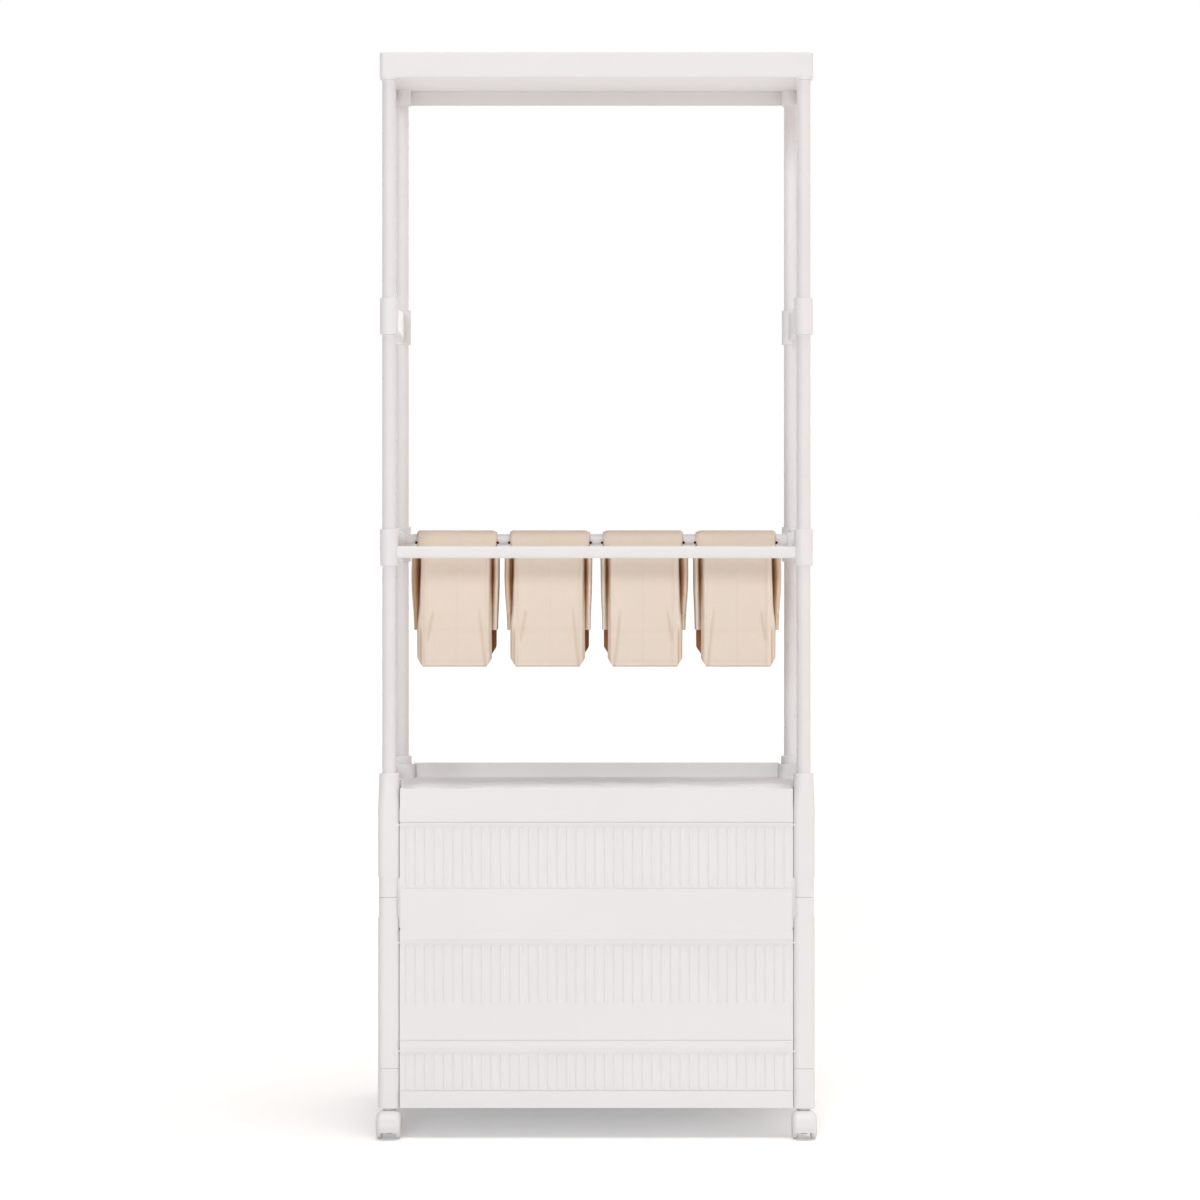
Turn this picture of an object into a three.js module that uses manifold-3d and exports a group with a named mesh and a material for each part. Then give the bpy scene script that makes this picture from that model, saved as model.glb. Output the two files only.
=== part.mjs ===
// Plastic clothes stand on casters: a cabinet of three compartments with flip-up ribbed fronts, four
// uprights plugged into it, a hanging rack with four cloth bags and a top shelf.
// Millimetres, +X to the right, +Y to the back, +Z up, origin on the floor under the middle.
import * as THREE from "three";
import { mergeVertices } from "three/addons/utils/BufferGeometryUtils.js";
import Module from "manifold-3d";

const wasm = await Module();
wasm.setup();

// Driving dimensions
const SPAN_X = 650; // between upright centres, left to right
const SPAN_Y = 360; // between upright centres, front to back
const SEAT_GAP = 0.3; // clearance between pieces that touch
const PIN_CLEAR = 0.3; // radial clearance of pins, spigots and tubes in their bores

// Uprights and the collars that join them
const TUBE_R = 11;
const TUBE_WALL = 1;
const TUBE_SEAT = 24; // depth of a tube end in its collar
const COLLAR_WALL = 3.2;
const COLLAR_R = TUBE_R + PIN_CLEAR + COLLAR_WALL;
const COLLAR_H = 58;
const COLLAR_CHAMFER = 1.5;

// Corner posts
const POST_WALL = 4.2; // around the tube, in the round top of the post
const POST_TOP_R = TUBE_R + PIN_CLEAR + POST_WALL;
const POST_SHOULDER = 1.5; // square post beyond its round top
const POST_W = 2 * (POST_TOP_R + POST_SHOULDER);
const POST_CORNER = 10;
const NECK_IN = 1.25; // drawn-in stretch on both sides of the post's split
const NECK_W = POST_W - 2 * NECK_IN;
const NECK_LEN = 30;
const NECK_TAPER = 3;
const POST_SEAT = 45; // depth of the upright in the post
const SPIGOT_R = 9;
const SPIGOT_LEN = 16;
const SPIGOT_ROOM = 1; // above a spigot in its bore
const LEDGE = 9; // under a frame's corner, out from the post
const LEDGE_H = 4;
const LEDGE_HALF = 8;
const LEDGE_SHIFT = 6; // towards the middle of the depth, behind the fronts' swing

// Side braces, rails and the bar
const ARM_T = 8; // side brace's web, thickness
const ARM_END = 25; // half height of the web at its collars
const ARM_LOW = 15; // below the middle, halfway along
const ARM_HIGH = 23; // above the middle, halfway along
const RAIL_H = 19;
const RAIL_T = 13;
const RAIL_CORNER = 5;
const RAIL_DROP = 7.5; // rail middle below the brace's middle
const BAR_R = 8.5;
const BAR_WALL = 1;
const BAR_RISE = 10.5; // bar middle above the brace's middle
const BOSS_WALL = 3;
const BOSS_LEN = 12;

// Top shelf
const TOP_LIP = 40;
const TOP_SKIN = 3;
const TOP_CORNER = 8;
const SOCKET_WALL = 3.2;
const SOCKET_R = TUBE_R + PIN_CLEAR + SOCKET_WALL; // flush with the lip
const SOCKET_DROP = 2.5; // socket below the lip

// Frames of the cabinet
const SHEET_T = 3;
const RIM_T = 3.5;
const BASE_H = 26.5;
const BASE_RISE = 1.2; // above the underside of the posts
const BASE_FLOOR_RISE = 5;
const LOW_SHELF_H = 12;
const MID_SHELF_H = 15;
const BIN_FRONT_H = 65;
const BIN_FRONT_T = 3.5;
const BIN_RECESS = 1; // behind the rims' front
const BIN_SIDE_GAP = 1;
const BIN_LIP = 5;
const TRAY_BAND = 21;
const TRAY_FRONT_H = 52.5;
const TRAY_RIM_H = 63;
const TRAY_FLOOR = 36;
const TRAY_INSET = 0.8;
const LOWER_ROOM = 66.5; // clear heights of the three compartments
const MIDDLE_ROOM = 158;
const UPPER_ROOM = 169;

// Fronts and walls
const DOOR_T = 3;
const DOOR_RECESS = 2; // front of the ribs behind the rims' front
const DOOR_SIDE_GAP = 1;
const DOOR_GAP = 1; // above and below a front
const HINGE_DROP = 4; // hinge axis below the top edge of a front
const HINGE_PIN_R = 1.4;
const HINGE_PIN_LEN = 5;
const HINGE_END_ROOM = 2; // past the pin's end in its hole
const RIB_PITCH = 14.8;
const RIB_H = 1.6;
const RIB_W = 6;
const RIB_MARGIN = 3;
const RIB_TOP_MARGIN = 8; // plain strip over the hinge
const PLAIN_BAND_H = 55; // plain lower share of the tall front
const WALL_T = 2.5;
const WALL_RECESS = 2;
const WALL_RIB_MARGIN = 6;
const BACK_FLANGE = 5; // folded top edge of a back wall

// Casters
const WHEEL_R = 20;
const WHEEL_W = 12;
const AXLE_R = 3;
const AXLE_INSET = 1; // axle end inside the wheel's face
const TRAIL = 14; // axle outward of the swivel, to the front or the rear
const HOOD_T = 11;
const HOOD_R = 13;
const HOOD_GAP = 2; // between the hood's web and each wheel
const FENDER_CLEAR = 1.5;
const FENDER_T = 2;
const FENDER_START = -35; // degrees from the axle's height, in front and behind
const SWIVEL_R = 11;
const SWIVEL_H = 3;
const STEM_R = 5;
const STEM_LEN = 30;
const STEM_ROOM = 2; // above the stem in its bore

// Bags
const BAG_COUNT = 4;
const BAG_GAP = 7.4; // between neighbouring cuffs
const BAG_END_ROOM = 11.9; // from the outer cuffs to the bar's bosses
const CUFF_WING = 6.5; // shorter cuff beyond the leaf, on each side
const CUFF_DROP = 146; // below the bar's middle
const CUFF_WAVE = 1.75;
const BAG_FRONT = 206; // front leaf below the bar's middle
const BAG_REAR = 190;
const BAG_CUT = 13; // height of the cut corners at a leaf's hem
const BAG_CUT_IN = 9; // and their width
const BAG_SPREAD = 50; // drop over which a leaf opens out
const BAG_STAND = 14; // flat middle of a leaf off its side edges
const BAG_BELLY = 9;
const BAG_FLAT = 0.8; // share of the leaf's half width that stays flat
const HEM_STEP = 1;
const CLOTH_T = 2.4;
const CLOTH_CLEAR = 0.6; // cloth over the bar

// Visible stretches of the uprights, and the posts' splits
const LOWER_TUBE = 324.5;
const MIDDLE_TUBE = 304.5;
const UPPER_TUBE = 341.5;
const FOOT_LEN = 62.2;
const SPLIT_DROP = 118; // post's split below the tray
const SHOULDER_RISE = 19; // where the post turns round, above the tray's underside
const POST_RISE = 76; // post's top above the tray's underside

// Facets
const SMOOTH = 12; // sides of a round piece
const WHEEL_SIDES = 20;
const PIN_SIDES = 10;
const CORNER_POINTS = 3; // on each rounded corner of a post
const CURVE_STEPS = 5;
const TURN_STEPS = 5; // of cloth over the bar
const MERGE_WITHIN = 1e-4; // points closer than this are one
const OVERRUN = 1; // how far a cutting or joined solid runs past the face it meets

// Heights from the floor up
const FOOT_Z = 2 * WHEEL_R + FENDER_CLEAR + FENDER_T + SWIVEL_H + SEAT_GAP; // underside of the posts
const FOOT_TOP = FOOT_Z + FOOT_LEN;
const BASE_LOW = FOOT_Z + BASE_RISE;
const BASE_HIGH = BASE_LOW + BASE_H;
const BASE_FLOOR = BASE_LOW + BASE_FLOOR_RISE;
const LOW_SHELF_Z = BASE_HIGH + LOWER_ROOM;
const LOW_SHELF_TOP = LOW_SHELF_Z + LOW_SHELF_H;
const MID_SHELF_Z = LOW_SHELF_TOP + MIDDLE_ROOM;
const MID_SHELF_TOP = MID_SHELF_Z + MID_SHELF_H;
const TRAY_Z = MID_SHELF_TOP + UPPER_ROOM;
const SPLIT_Z = TRAY_Z - SPLIT_DROP;
const SHOULDER_Z = TRAY_Z + SHOULDER_RISE;
const POST_TOP = TRAY_Z + POST_RISE;
const MID_RACK_Z = POST_TOP + LOWER_TUBE + COLLAR_H / 2; // middle of the lower pair of side braces
const HIGH_RACK_Z = MID_RACK_Z + COLLAR_H + MIDDLE_TUBE; // middle of the upper pair
const MID_BAR_Z = MID_RACK_Z + BAR_RISE;
const TOP_Z = HIGH_RACK_Z + COLLAR_H / 2 + UPPER_TUBE + SOCKET_DROP + TOP_LIP;

// Plan
const HALF_X = SPAN_X / 2;
const HALF_Y = SPAN_Y / 2;
const EDGE_X = HALF_X + POST_W / 2; // outer face of the posts
const EDGE_Y = HALF_Y + POST_W / 2;
const INNER_X = HALF_X - POST_W / 2;
const INNER_Y = HALF_Y - POST_W / 2;
const WHEEL_GAP = HOOD_T + 2 * HOOD_GAP; // between the two wheels of a caster
const BAR_FREE = SPAN_X - ARM_T - 2 * BOSS_LEN; // bar between its bosses
const CUFF_W = (BAR_FREE - 2 * BAG_END_ROOM - (BAG_COUNT - 1) * BAG_GAP) / BAG_COUNT;
const BAG_PITCH = CUFF_W + BAG_GAP;
const BAG_W = CUFF_W - 2 * CUFF_WING; // outer leaf

const FINISH = {
  shell: { color: 0xe9e7e7, roughness: 0.45, metalness: 0 },
  tube: { color: 0xe6e3e3, roughness: 0.35, metalness: 0.1 },
  wheel: { color: 0xd9d6d5, roughness: 0.5, metalness: 0 },
  cloth: { color: 0xe7d6c4, roughness: 0.95, metalness: 0 },
};

const EXTRUDED = { bevelEnabled: false, curveSegments: CURVE_STEPS };

const part = new THREE.Group();

// A three.js geometry as a solid that can be joined and cut.
function solid(geometry) {
  const bare = geometry.clone();
  for (const name of Object.keys(bare.attributes)) {
    if (name !== "position") bare.deleteAttribute(name);
  }
  const merged = mergeVertices(bare, MERGE_WITHIN);
  return new wasm.Manifold(
    new wasm.Mesh({
      numProp: 3,
      vertProperties: merged.attributes.position.array,
      triVerts: new Uint32Array(merged.index.array),
    }),
  );
}

// A joined or cut solid as a three.js geometry.
function geometryOf(manifold) {
  const mesh = manifold.getMesh();
  const geometry = new THREE.BufferGeometry();
  geometry.setAttribute("position", new THREE.BufferAttribute(mesh.vertProperties, 3));
  geometry.setIndex(new THREE.BufferAttribute(mesh.triVerts, 1));
  geometry.computeVertexNormals();
  return geometry;
}

function join(...solids) {
  return solids.reduce((whole, next) => whole.add(next));
}

function cut(whole, ...tools) {
  return tools.reduce((rest, tool) => rest.subtract(tool), whole);
}

function place(name, manifold, finish) {
  const mesh = new THREE.Mesh(geometryOf(manifold), new THREE.MeshStandardMaterial(FINISH[finish]));
  mesh.name = name;
  part.add(mesh);
}

function block(x0, x1, y0, y1, z0, z1) {
  const box = new THREE.BoxGeometry(Math.abs(x1 - x0), Math.abs(y1 - y0), Math.abs(z1 - z0));
  return solid(box.translate((x0 + x1) / 2, (y0 + y1) / 2, (z0 + z1) / 2));
}

// An upright round bar between two heights.
function column(x, y, radius, z0, z1, sides = SMOOTH) {
  const bar = new THREE.CylinderGeometry(radius, radius, z1 - z0, sides);
  return solid(bar.rotateX(Math.PI / 2).translate(x, y, (z0 + z1) / 2));
}

// A round bar along X.
function crossBar(x0, x1, y, z, radius, sides = SMOOTH) {
  const bar = new THREE.CylinderGeometry(radius, radius, Math.abs(x1 - x0), sides);
  return solid(bar.rotateZ(Math.PI / 2).translate((x0 + x1) / 2, y, z));
}

function outline(points) {
  return new THREE.Shape(points.map(([a, b]) => new THREE.Vector2(a, b)));
}

// A flat outline in X and Y, raised between two heights.
function prism(shape, z0, z1) {
  const raised = new THREE.ExtrudeGeometry(shape, { ...EXTRUDED, depth: z1 - z0 });
  return solid(raised.translate(0, 0, z0));
}

// A flat outline in Y and Z, drawn out along X.
function slab(shape, x0, x1) {
  const drawn = new THREE.ExtrudeGeometry(shape, { ...EXTRUDED, depth: x1 - x0 });
  const turn = new THREE.Matrix4().makeBasis(
    new THREE.Vector3(0, 1, 0),
    new THREE.Vector3(0, 0, 1),
    new THREE.Vector3(1, 0, 0),
  );
  return solid(drawn.applyMatrix4(turn).translate(x0, 0, 0));
}

function roundedRectangle(width, depth, radius) {
  const [w, d] = [width / 2, depth / 2];
  const shape = new THREE.Shape();
  shape.moveTo(-w + radius, -d);
  shape.lineTo(w - radius, -d);
  shape.absarc(w - radius, -d + radius, radius, -Math.PI / 2, 0);
  shape.lineTo(w, d - radius);
  shape.absarc(w - radius, d - radius, radius, 0, Math.PI / 2);
  shape.lineTo(-w + radius, d);
  shape.absarc(-w + radius, d - radius, radius, Math.PI / 2, Math.PI);
  shape.lineTo(-w, -d + radius);
  shape.absarc(-w + radius, -d + radius, radius, Math.PI, 1.5 * Math.PI);
  return shape;
}

// A closed solid over a grid of rings: rings[i][k] is point k of ring i, and both end rings are capped.
function capped(rings) {
  const size = rings[0].length;
  const points = rings.flat(2);
  const faces = [];
  for (let i = 0; i + 1 < rings.length; i += 1) {
    for (let k = 0; k < size; k += 1) {
      const [a, b] = [i * size + k, i * size + ((k + 1) % size)];
      faces.push(a, b, b + size, a, b + size, a + size);
    }
  }
  const last = (rings.length - 1) * size;
  for (let k = 1; k + 1 < size; k += 1) {
    faces.push(0, k + 1, k, last, last + k, last + k + 1);
  }
  const geometry = new THREE.BufferGeometry();
  geometry.setAttribute("position", new THREE.Float32BufferAttribute(points, 3));
  geometry.setIndex(faces);
  return solid(geometry);
}

const DIAGONALS = [45, 135, 225, 315].map((degrees) => THREE.MathUtils.degToRad(degrees));

// A square post with rounded corners whose width changes along its height.
function post(x, y, levels) {
  const rings = levels.map(([z, width, radius]) => {
    const ring = [];
    for (const middle of DIAGONALS) {
      const cx = Math.sign(Math.cos(middle)) * (width / 2 - radius);
      const cy = Math.sign(Math.sin(middle)) * (width / 2 - radius);
      for (let k = 0; k < CORNER_POINTS; k += 1) {
        const angle = middle + ((2 * k) / (CORNER_POINTS - 1) - 1) * (Math.PI / 4);
        ring.push([x + cx + radius * Math.cos(angle), y + cy + radius * Math.sin(angle), z]);
      }
    }
    return ring;
  });
  return capped(rings);
}

const CORNERS = [];
for (const [side, sx] of [["left", -1], ["right", 1]]) {
  for (const [end, sy] of [["front", -1], ["rear", 1]]) {
    CORNERS.push({ tag: `${end}_${side}`, sx, sy, x: sx * HALF_X, y: sy * HALF_Y });
  }
}

// A small ledge on a post's inner face, under a frame's corner, or with room added the pocket it fits.
function ledge({ sx, sy, x, y }, top, room = 0) {
  const face = x - (sx * POST_W) / 2;
  const middle = y - sy * LEDGE_SHIFT;
  const [reach, half] = [LEDGE + room, LEDGE_HALF + room];
  const [y0, y1] = [middle - half, middle + half];
  return block(face + sx * OVERRUN, face - sx * reach, y0, y1, top - LEDGE_H - room, top + room);
}

// The hole for a front's hinge pin in a front post's inner face.
function hingeHole({ sx, x }, axis) {
  const face = x - (sx * POST_W) / 2;
  const end = face + sx * (HINGE_PIN_LEN - DOOR_SIDE_GAP + HINGE_END_ROOM);
  return crossBar(face - sx * OVERRUN, end, axis.y, axis.z, HINGE_PIN_R + PIN_CLEAR, PIN_SIDES);
}

// Fronts: lowest and highest edge, the height down to which the ribs run, and the hinge axis
const RIM_FRONT = -EDGE_Y;
const DOOR_FRONT = RIM_FRONT + DOOR_RECESS;
const DOOR_BACK = DOOR_FRONT + RIB_H + DOOR_T;
const DOOR_AXIS_Y = DOOR_BACK - DOOR_T / 2;
const FRONTS = [
  { name: "upper_front", low: MID_SHELF_TOP + BIN_FRONT_H, high: TRAY_Z, plain: 0 },
  { name: "middle_front", low: LOW_SHELF_TOP, high: MID_SHELF_Z, plain: PLAIN_BAND_H },
  { name: "lower_front", low: BASE_HIGH, high: LOW_SHELF_Z, plain: 0 },
].map(({ name, low, high, plain }) => ({
  name,
  low: low + DOOR_GAP,
  high: high - DOOR_GAP,
  ribsFrom: low + DOOR_GAP + plain + RIB_MARGIN,
  axis: { y: DOOR_AXIS_Y, z: high - DOOR_GAP - HINGE_DROP },
}));

// The corner posts, each of a foot, a lower leg and an upper leg with spigots between them
function addPosts() {
  const spigotBore = ({ x, y }, low) => {
    return column(x, y, SPIGOT_R + PIN_CLEAR, low - OVERRUN, low + SPIGOT_LEN + SPIGOT_ROOM);
  };
  for (const c of CORNERS) {
    const foot = join(
      post(c.x, c.y, [[FOOT_Z, POST_W, POST_CORNER], [FOOT_TOP, POST_W, POST_CORNER]]),
      column(c.x, c.y, SPIGOT_R, FOOT_TOP - OVERRUN, FOOT_TOP + SPIGOT_LEN),
      ledge(c, BASE_FLOOR - SEAT_GAP),
    );
    const stemBore = column(c.x, c.y, STEM_R + PIN_CLEAR, FOOT_Z - OVERRUN, FOOT_Z + STEM_LEN + STEM_ROOM);
    place(`post_foot_${c.tag}`, cut(foot, stemBore), "shell");

    const lowerLow = FOOT_TOP + SEAT_GAP;
    const lower = join(
      post(c.x, c.y, [
        [lowerLow, POST_W, POST_CORNER],
        [SPLIT_Z - NECK_LEN - NECK_TAPER, POST_W, POST_CORNER],
        [SPLIT_Z - NECK_LEN, NECK_W, POST_CORNER],
        [SPLIT_Z, NECK_W, POST_CORNER],
      ]),
      column(c.x, c.y, SPIGOT_R, SPLIT_Z - OVERRUN, SPLIT_Z + SPIGOT_LEN),
      ledge(c, LOW_SHELF_Z - SEAT_GAP),
      ledge(c, MID_SHELF_Z - SEAT_GAP),
    );
    const upperLow = SPLIT_Z + SEAT_GAP;
    const upper = join(
      post(c.x, c.y, [
        [upperLow, NECK_W, POST_CORNER],
        [SPLIT_Z + NECK_LEN, NECK_W, POST_CORNER],
        [SPLIT_Z + NECK_LEN + NECK_TAPER, POST_W, POST_CORNER],
        [SHOULDER_Z, POST_W, POST_CORNER],
        [POST_TOP - COLLAR_CHAMFER, 2 * POST_TOP_R, POST_TOP_R],
        [POST_TOP, 2 * (POST_TOP_R - COLLAR_CHAMFER), POST_TOP_R - COLLAR_CHAMFER],
      ]),
      ledge(c, TRAY_Z - SEAT_GAP),
    );
    const lowerCuts = [spigotBore(c, lowerLow)];
    const upperCuts = [
      spigotBore(c, upperLow),
      column(c.x, c.y, TUBE_R + PIN_CLEAR, POST_TOP - POST_SEAT - SEAT_GAP, POST_TOP + OVERRUN),
    ];
    if (c.sy < 0) {
      for (const { axis } of FRONTS) {
        (axis.z > SPLIT_Z ? upperCuts : lowerCuts).push(hingeHole(c, axis));
      }
    }
    place(`post_lower_${c.tag}`, cut(lower, ...lowerCuts), "shell");
    place(`post_upper_${c.tag}`, cut(upper, ...upperCuts), "shell");
  }
}

// The outline of a frame that fills the plan between the posts, drawn in by inset
function framePlan(inset) {
  const [ex, ey] = [EDGE_X - inset, EDGE_Y - inset];
  const [ix, iy] = [INNER_X - SEAT_GAP - inset, INNER_Y - SEAT_GAP - inset];
  return outline([
    [-ix, -ey], [ix, -ey], [ix, -iy], [ex, -iy], [ex, iy], [ix, iy],
    [ix, ey], [-ix, ey], [-ix, iy], [-ex, iy], [-ex, -iy], [-ix, -iy],
  ]);
}

// A frame with an upright rim all round and a floor inside it
function pan(low, high, floor) {
  return cut(
    prism(framePlan(0), low, high),
    prism(framePlan(RIM_T), floor + SHEET_T, high + OVERRUN),
    prism(framePlan(RIM_T), low - OVERRUN, floor),
  );
}

// A frame with a flat underside and an upright rim all round
function openTray(low, high) {
  return cut(prism(framePlan(0), low, high), prism(framePlan(RIM_T), low + SHEET_T, high + OVERRUN));
}

function addFrames() {
  const pockets = CORNERS.map((c) => ledge(c, BASE_FLOOR - SEAT_GAP, SEAT_GAP));
  place("base_frame", cut(pan(BASE_LOW, BASE_HIGH, BASE_FLOOR), ...pockets), "shell");

  place("low_shelf", openTray(LOW_SHELF_Z, LOW_SHELF_TOP), "shell");

  // The middle shelf has an upright front that closes the lower part of its compartment
  const binX = INNER_X - BIN_SIDE_GAP;
  const binFront = RIM_FRONT + BIN_RECESS;
  const binTop = MID_SHELF_TOP + BIN_FRONT_H;
  const middle = join(
    openTray(MID_SHELF_Z, MID_SHELF_TOP),
    block(-binX, binX, binFront, binFront + BIN_FRONT_T, MID_SHELF_TOP - OVERRUN, binTop),
    block(-binX, binX, binFront, binFront + BIN_FRONT_T + BIN_LIP, binTop - SHEET_T, binTop),
  );
  place("middle_shelf", middle, "shell");

  // The table tray has a low front rim and higher side and back rims
  const bandTop = TRAY_Z + TRAY_BAND;
  const frontTop = TRAY_Z + TRAY_FRONT_H;
  const floor = TRAY_Z + TRAY_FLOOR;
  const rimTop = TRAY_Z + TRAY_RIM_H;
  const tray = cut(
    join(prism(framePlan(0), TRAY_Z, bandTop), prism(framePlan(TRAY_INSET), bandTop - OVERRUN, rimTop)),
    prism(framePlan(RIM_T), floor + SHEET_T, rimTop + OVERRUN),
    prism(framePlan(RIM_T), TRAY_Z - OVERRUN, floor),
    block(-EDGE_X, EDGE_X, -EDGE_Y - OVERRUN, -INNER_Y - SEAT_GAP - RIM_T, frontTop, rimTop + OVERRUN),
  );
  place("table_tray", tray, "shell");
}

// A sheet with pointed ribs on one face, upright between z0 and z1; its plain face lies on v = 0.
function ribbedPlan(halfLength, thickness) {
  const count = Math.floor((2 * (halfLength - RIB_MARGIN) - RIB_W) / RIB_PITCH) + 1;
  const first = (-(count - 1) * RIB_PITCH) / 2;
  const points = [[-halfLength, 0], [-halfLength, -thickness]];
  for (let i = 0; i < count; i += 1) {
    const u = first + i * RIB_PITCH;
    points.push([u - RIB_W / 2, -thickness], [u, -thickness - RIB_H], [u + RIB_W / 2, -thickness]);
  }
  points.push([halfLength, -thickness], [halfLength, 0]);
  return outline(points);
}

function addFronts() {
  const halfLength = INNER_X - DOOR_SIDE_GAP;
  const pinEnd = halfLength + HINGE_PIN_LEN;
  for (const { name, low, high, ribsFrom, axis } of FRONTS) {
    const ribs = prism(ribbedPlan(halfLength, DOOR_T), ribsFrom, high - RIB_TOP_MARGIN);
    const door = join(
      block(-halfLength, halfLength, DOOR_BACK - DOOR_T, DOOR_BACK, low, high),
      ribs.translate([0, DOOR_BACK, 0]),
      crossBar(-pinEnd, pinEnd, axis.y, axis.z, HINGE_PIN_R, PIN_SIDES),
    );
    place(name, door, "shell");
  }
}

// Side and back walls of the compartments, standing between the frames
const STOREYS = [
  { tag: "upper", low: MID_SHELF_TOP, high: TRAY_Z },
  { tag: "middle", low: LOW_SHELF_TOP, high: MID_SHELF_Z },
  { tag: "lower", low: BASE_HIGH, high: LOW_SHELF_Z },
];

function addWalls() {
  const halfDepth = INNER_Y - SEAT_GAP;
  const halfWidth = INNER_X - SEAT_GAP;
  for (const { tag, low, high } of STOREYS) {
    const [z0, z1] = [low + SEAT_GAP, high - SEAT_GAP];
    for (const [side, sx] of [["left", -1], ["right", 1]]) {
      const inner = EDGE_X - WALL_RECESS - RIB_H - WALL_T;
      const wall = join(
        prism(ribbedPlan(halfDepth, WALL_T), z0 + WALL_RIB_MARGIN, z1 - WALL_RIB_MARGIN),
        block(-halfDepth, halfDepth, -WALL_T, 0, z0, z1),
      )
        .rotate([0, 0, sx * 90])
        .translate([sx * inner, 0, 0]);
      place(`side_wall_${tag}_${side}`, wall, "shell");
    }
    const back = EDGE_Y - WALL_RECESS;
    const panel = join(
      block(-halfWidth, halfWidth, back - WALL_T, back, z0, z1),
      block(-halfWidth, halfWidth, back - BACK_FLANGE, back, z1 - WALL_T, z1),
    );
    place(`back_wall_${tag}`, panel, "shell");
  }
}

// A collar that takes one tube from below and one from above, around the brace's end
function collarBores(x, y, middle) {
  const reach = COLLAR_H / 2 + OVERRUN;
  const stop = COLLAR_H / 2 - TUBE_SEAT;
  return [
    column(x, y, TUBE_R + PIN_CLEAR, middle + stop, middle + reach),
    column(x, y, TUBE_R + PIN_CLEAR, middle - reach, middle - stop),
  ];
}

function collarBody(x, y, middle) {
  const [full, small] = [COLLAR_R, COLLAR_R - COLLAR_CHAMFER];
  const half = COLLAR_H / 2;
  const profile = [
    [0, -half], [small, -half], [full, -half + COLLAR_CHAMFER],
    [full, half - COLLAR_CHAMFER], [small, half], [0, half],
  ].map(([r, h]) => new THREE.Vector2(r, h));
  const lathe = new THREE.LatheGeometry(profile, SMOOTH);
  return solid(lathe.rotateX(Math.PI / 2).translate(x, y, middle));
}

// Side braces: a front and a rear collar with a waisted web between them
function addBraces() {
  for (const [level, middle, holdsBar] of [["middle", MID_RACK_Z, true], ["high", HIGH_RACK_Z, false]]) {
    for (const [side, sx] of [["left", -1], ["right", 1]]) {
      const x = sx * HALF_X;
      const web = new THREE.Shape();
      web.moveTo(-HALF_Y, middle - ARM_END);
      web.quadraticCurveTo(0, middle - 2 * ARM_LOW + ARM_END, HALF_Y, middle - ARM_END);
      web.lineTo(HALF_Y, middle + ARM_END);
      web.quadraticCurveTo(0, middle + 2 * ARM_HIGH - ARM_END, -HALF_Y, middle + ARM_END);
      let brace = join(
        slab(web, x - ARM_T / 2, x + ARM_T / 2),
        collarBody(x, -HALF_Y, middle),
        collarBody(x, HALF_Y, middle),
      );
      if (holdsBar) {
        const face = x - (sx * ARM_T) / 2;
        const mouth = face - sx * BOSS_LEN;
        const bore = BAR_R + PIN_CLEAR;
        const boss = crossBar(face + sx * OVERRUN, mouth, 0, MID_BAR_Z, bore + BOSS_WALL);
        brace = cut(join(brace, boss), crossBar(face, mouth - sx * OVERRUN, 0, MID_BAR_Z, bore));
      }
      brace = cut(brace, ...collarBores(x, -HALF_Y, middle), ...collarBores(x, HALF_Y, middle));
      place(`side_brace_${level}_${side}`, brace, "shell");
    }
  }
}

function addRails() {
  const z = MID_RACK_Z - RAIL_DROP;
  for (const [end, sy] of [["front", -1], ["rear", 1]]) {
    const y = sy * HALF_Y;
    const section = roundedRectangle(RAIL_T, RAIL_H, RAIL_CORNER);
    const rail = slab(section, -HALF_X, HALF_X).translate([0, y, z]);
    const clear = COLLAR_R + SEAT_GAP;
    const ends = [-HALF_X, HALF_X].map((x) => column(x, y, clear, z - RAIL_H, z + RAIL_H));
    place(`${end}_rail`, cut(rail, ...ends), "shell");
  }
  const reach = HALF_X - ARM_T / 2 - SEAT_GAP;
  const bar = cut(
    crossBar(-reach, reach, 0, MID_BAR_Z, BAR_R),
    crossBar(-reach - OVERRUN, reach + OVERRUN, 0, MID_BAR_Z, BAR_R - BAR_WALL),
  );
  place("bag_bar", bar, "tube");
}

// The uprights, three tubes to each corner
function addUprights() {
  const seat = COLLAR_H / 2 - TUBE_SEAT + SEAT_GAP;
  const spans = [
    ["lower", POST_TOP - POST_SEAT, MID_RACK_Z - seat],
    ["middle", MID_RACK_Z + seat, HIGH_RACK_Z - seat],
    ["upper", HIGH_RACK_Z + seat, TOP_Z - TOP_SKIN - SEAT_GAP],
  ];
  for (const c of CORNERS) {
    for (const [level, low, high] of spans) {
      const tube = cut(
        column(c.x, c.y, TUBE_R, low, high),
        column(c.x, c.y, TUBE_R - TUBE_WALL, low - OVERRUN, high + OVERRUN),
      );
      place(`upright_${level}_${c.tag}`, tube, "tube");
    }
  }
}

// The top shelf is an upturned pan with a socket in each corner
function addTopShelf() {
  const [width, depth] = [SPAN_X + 2 * SOCKET_R, SPAN_Y + 2 * SOCKET_R];
  const lipLow = TOP_Z - TOP_LIP;
  const skinLow = TOP_Z - TOP_SKIN;
  const inner = roundedRectangle(width - 2 * RIM_T, depth - 2 * RIM_T, TOP_CORNER - RIM_T);
  const outer = roundedRectangle(width, depth, TOP_CORNER);
  let shelf = cut(prism(outer, lipLow, TOP_Z), prism(inner, lipLow - OVERRUN, skinLow));
  for (const c of CORNERS) {
    shelf = shelf.add(column(c.x, c.y, SOCKET_R, lipLow - SOCKET_DROP, skinLow + OVERRUN));
  }
  for (const c of CORNERS) {
    shelf = shelf.subtract(column(c.x, c.y, TUBE_R + PIN_CLEAR, lipLow - TOP_LIP, skinLow));
  }
  place("top_shelf", shelf, "shell");
}

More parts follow.
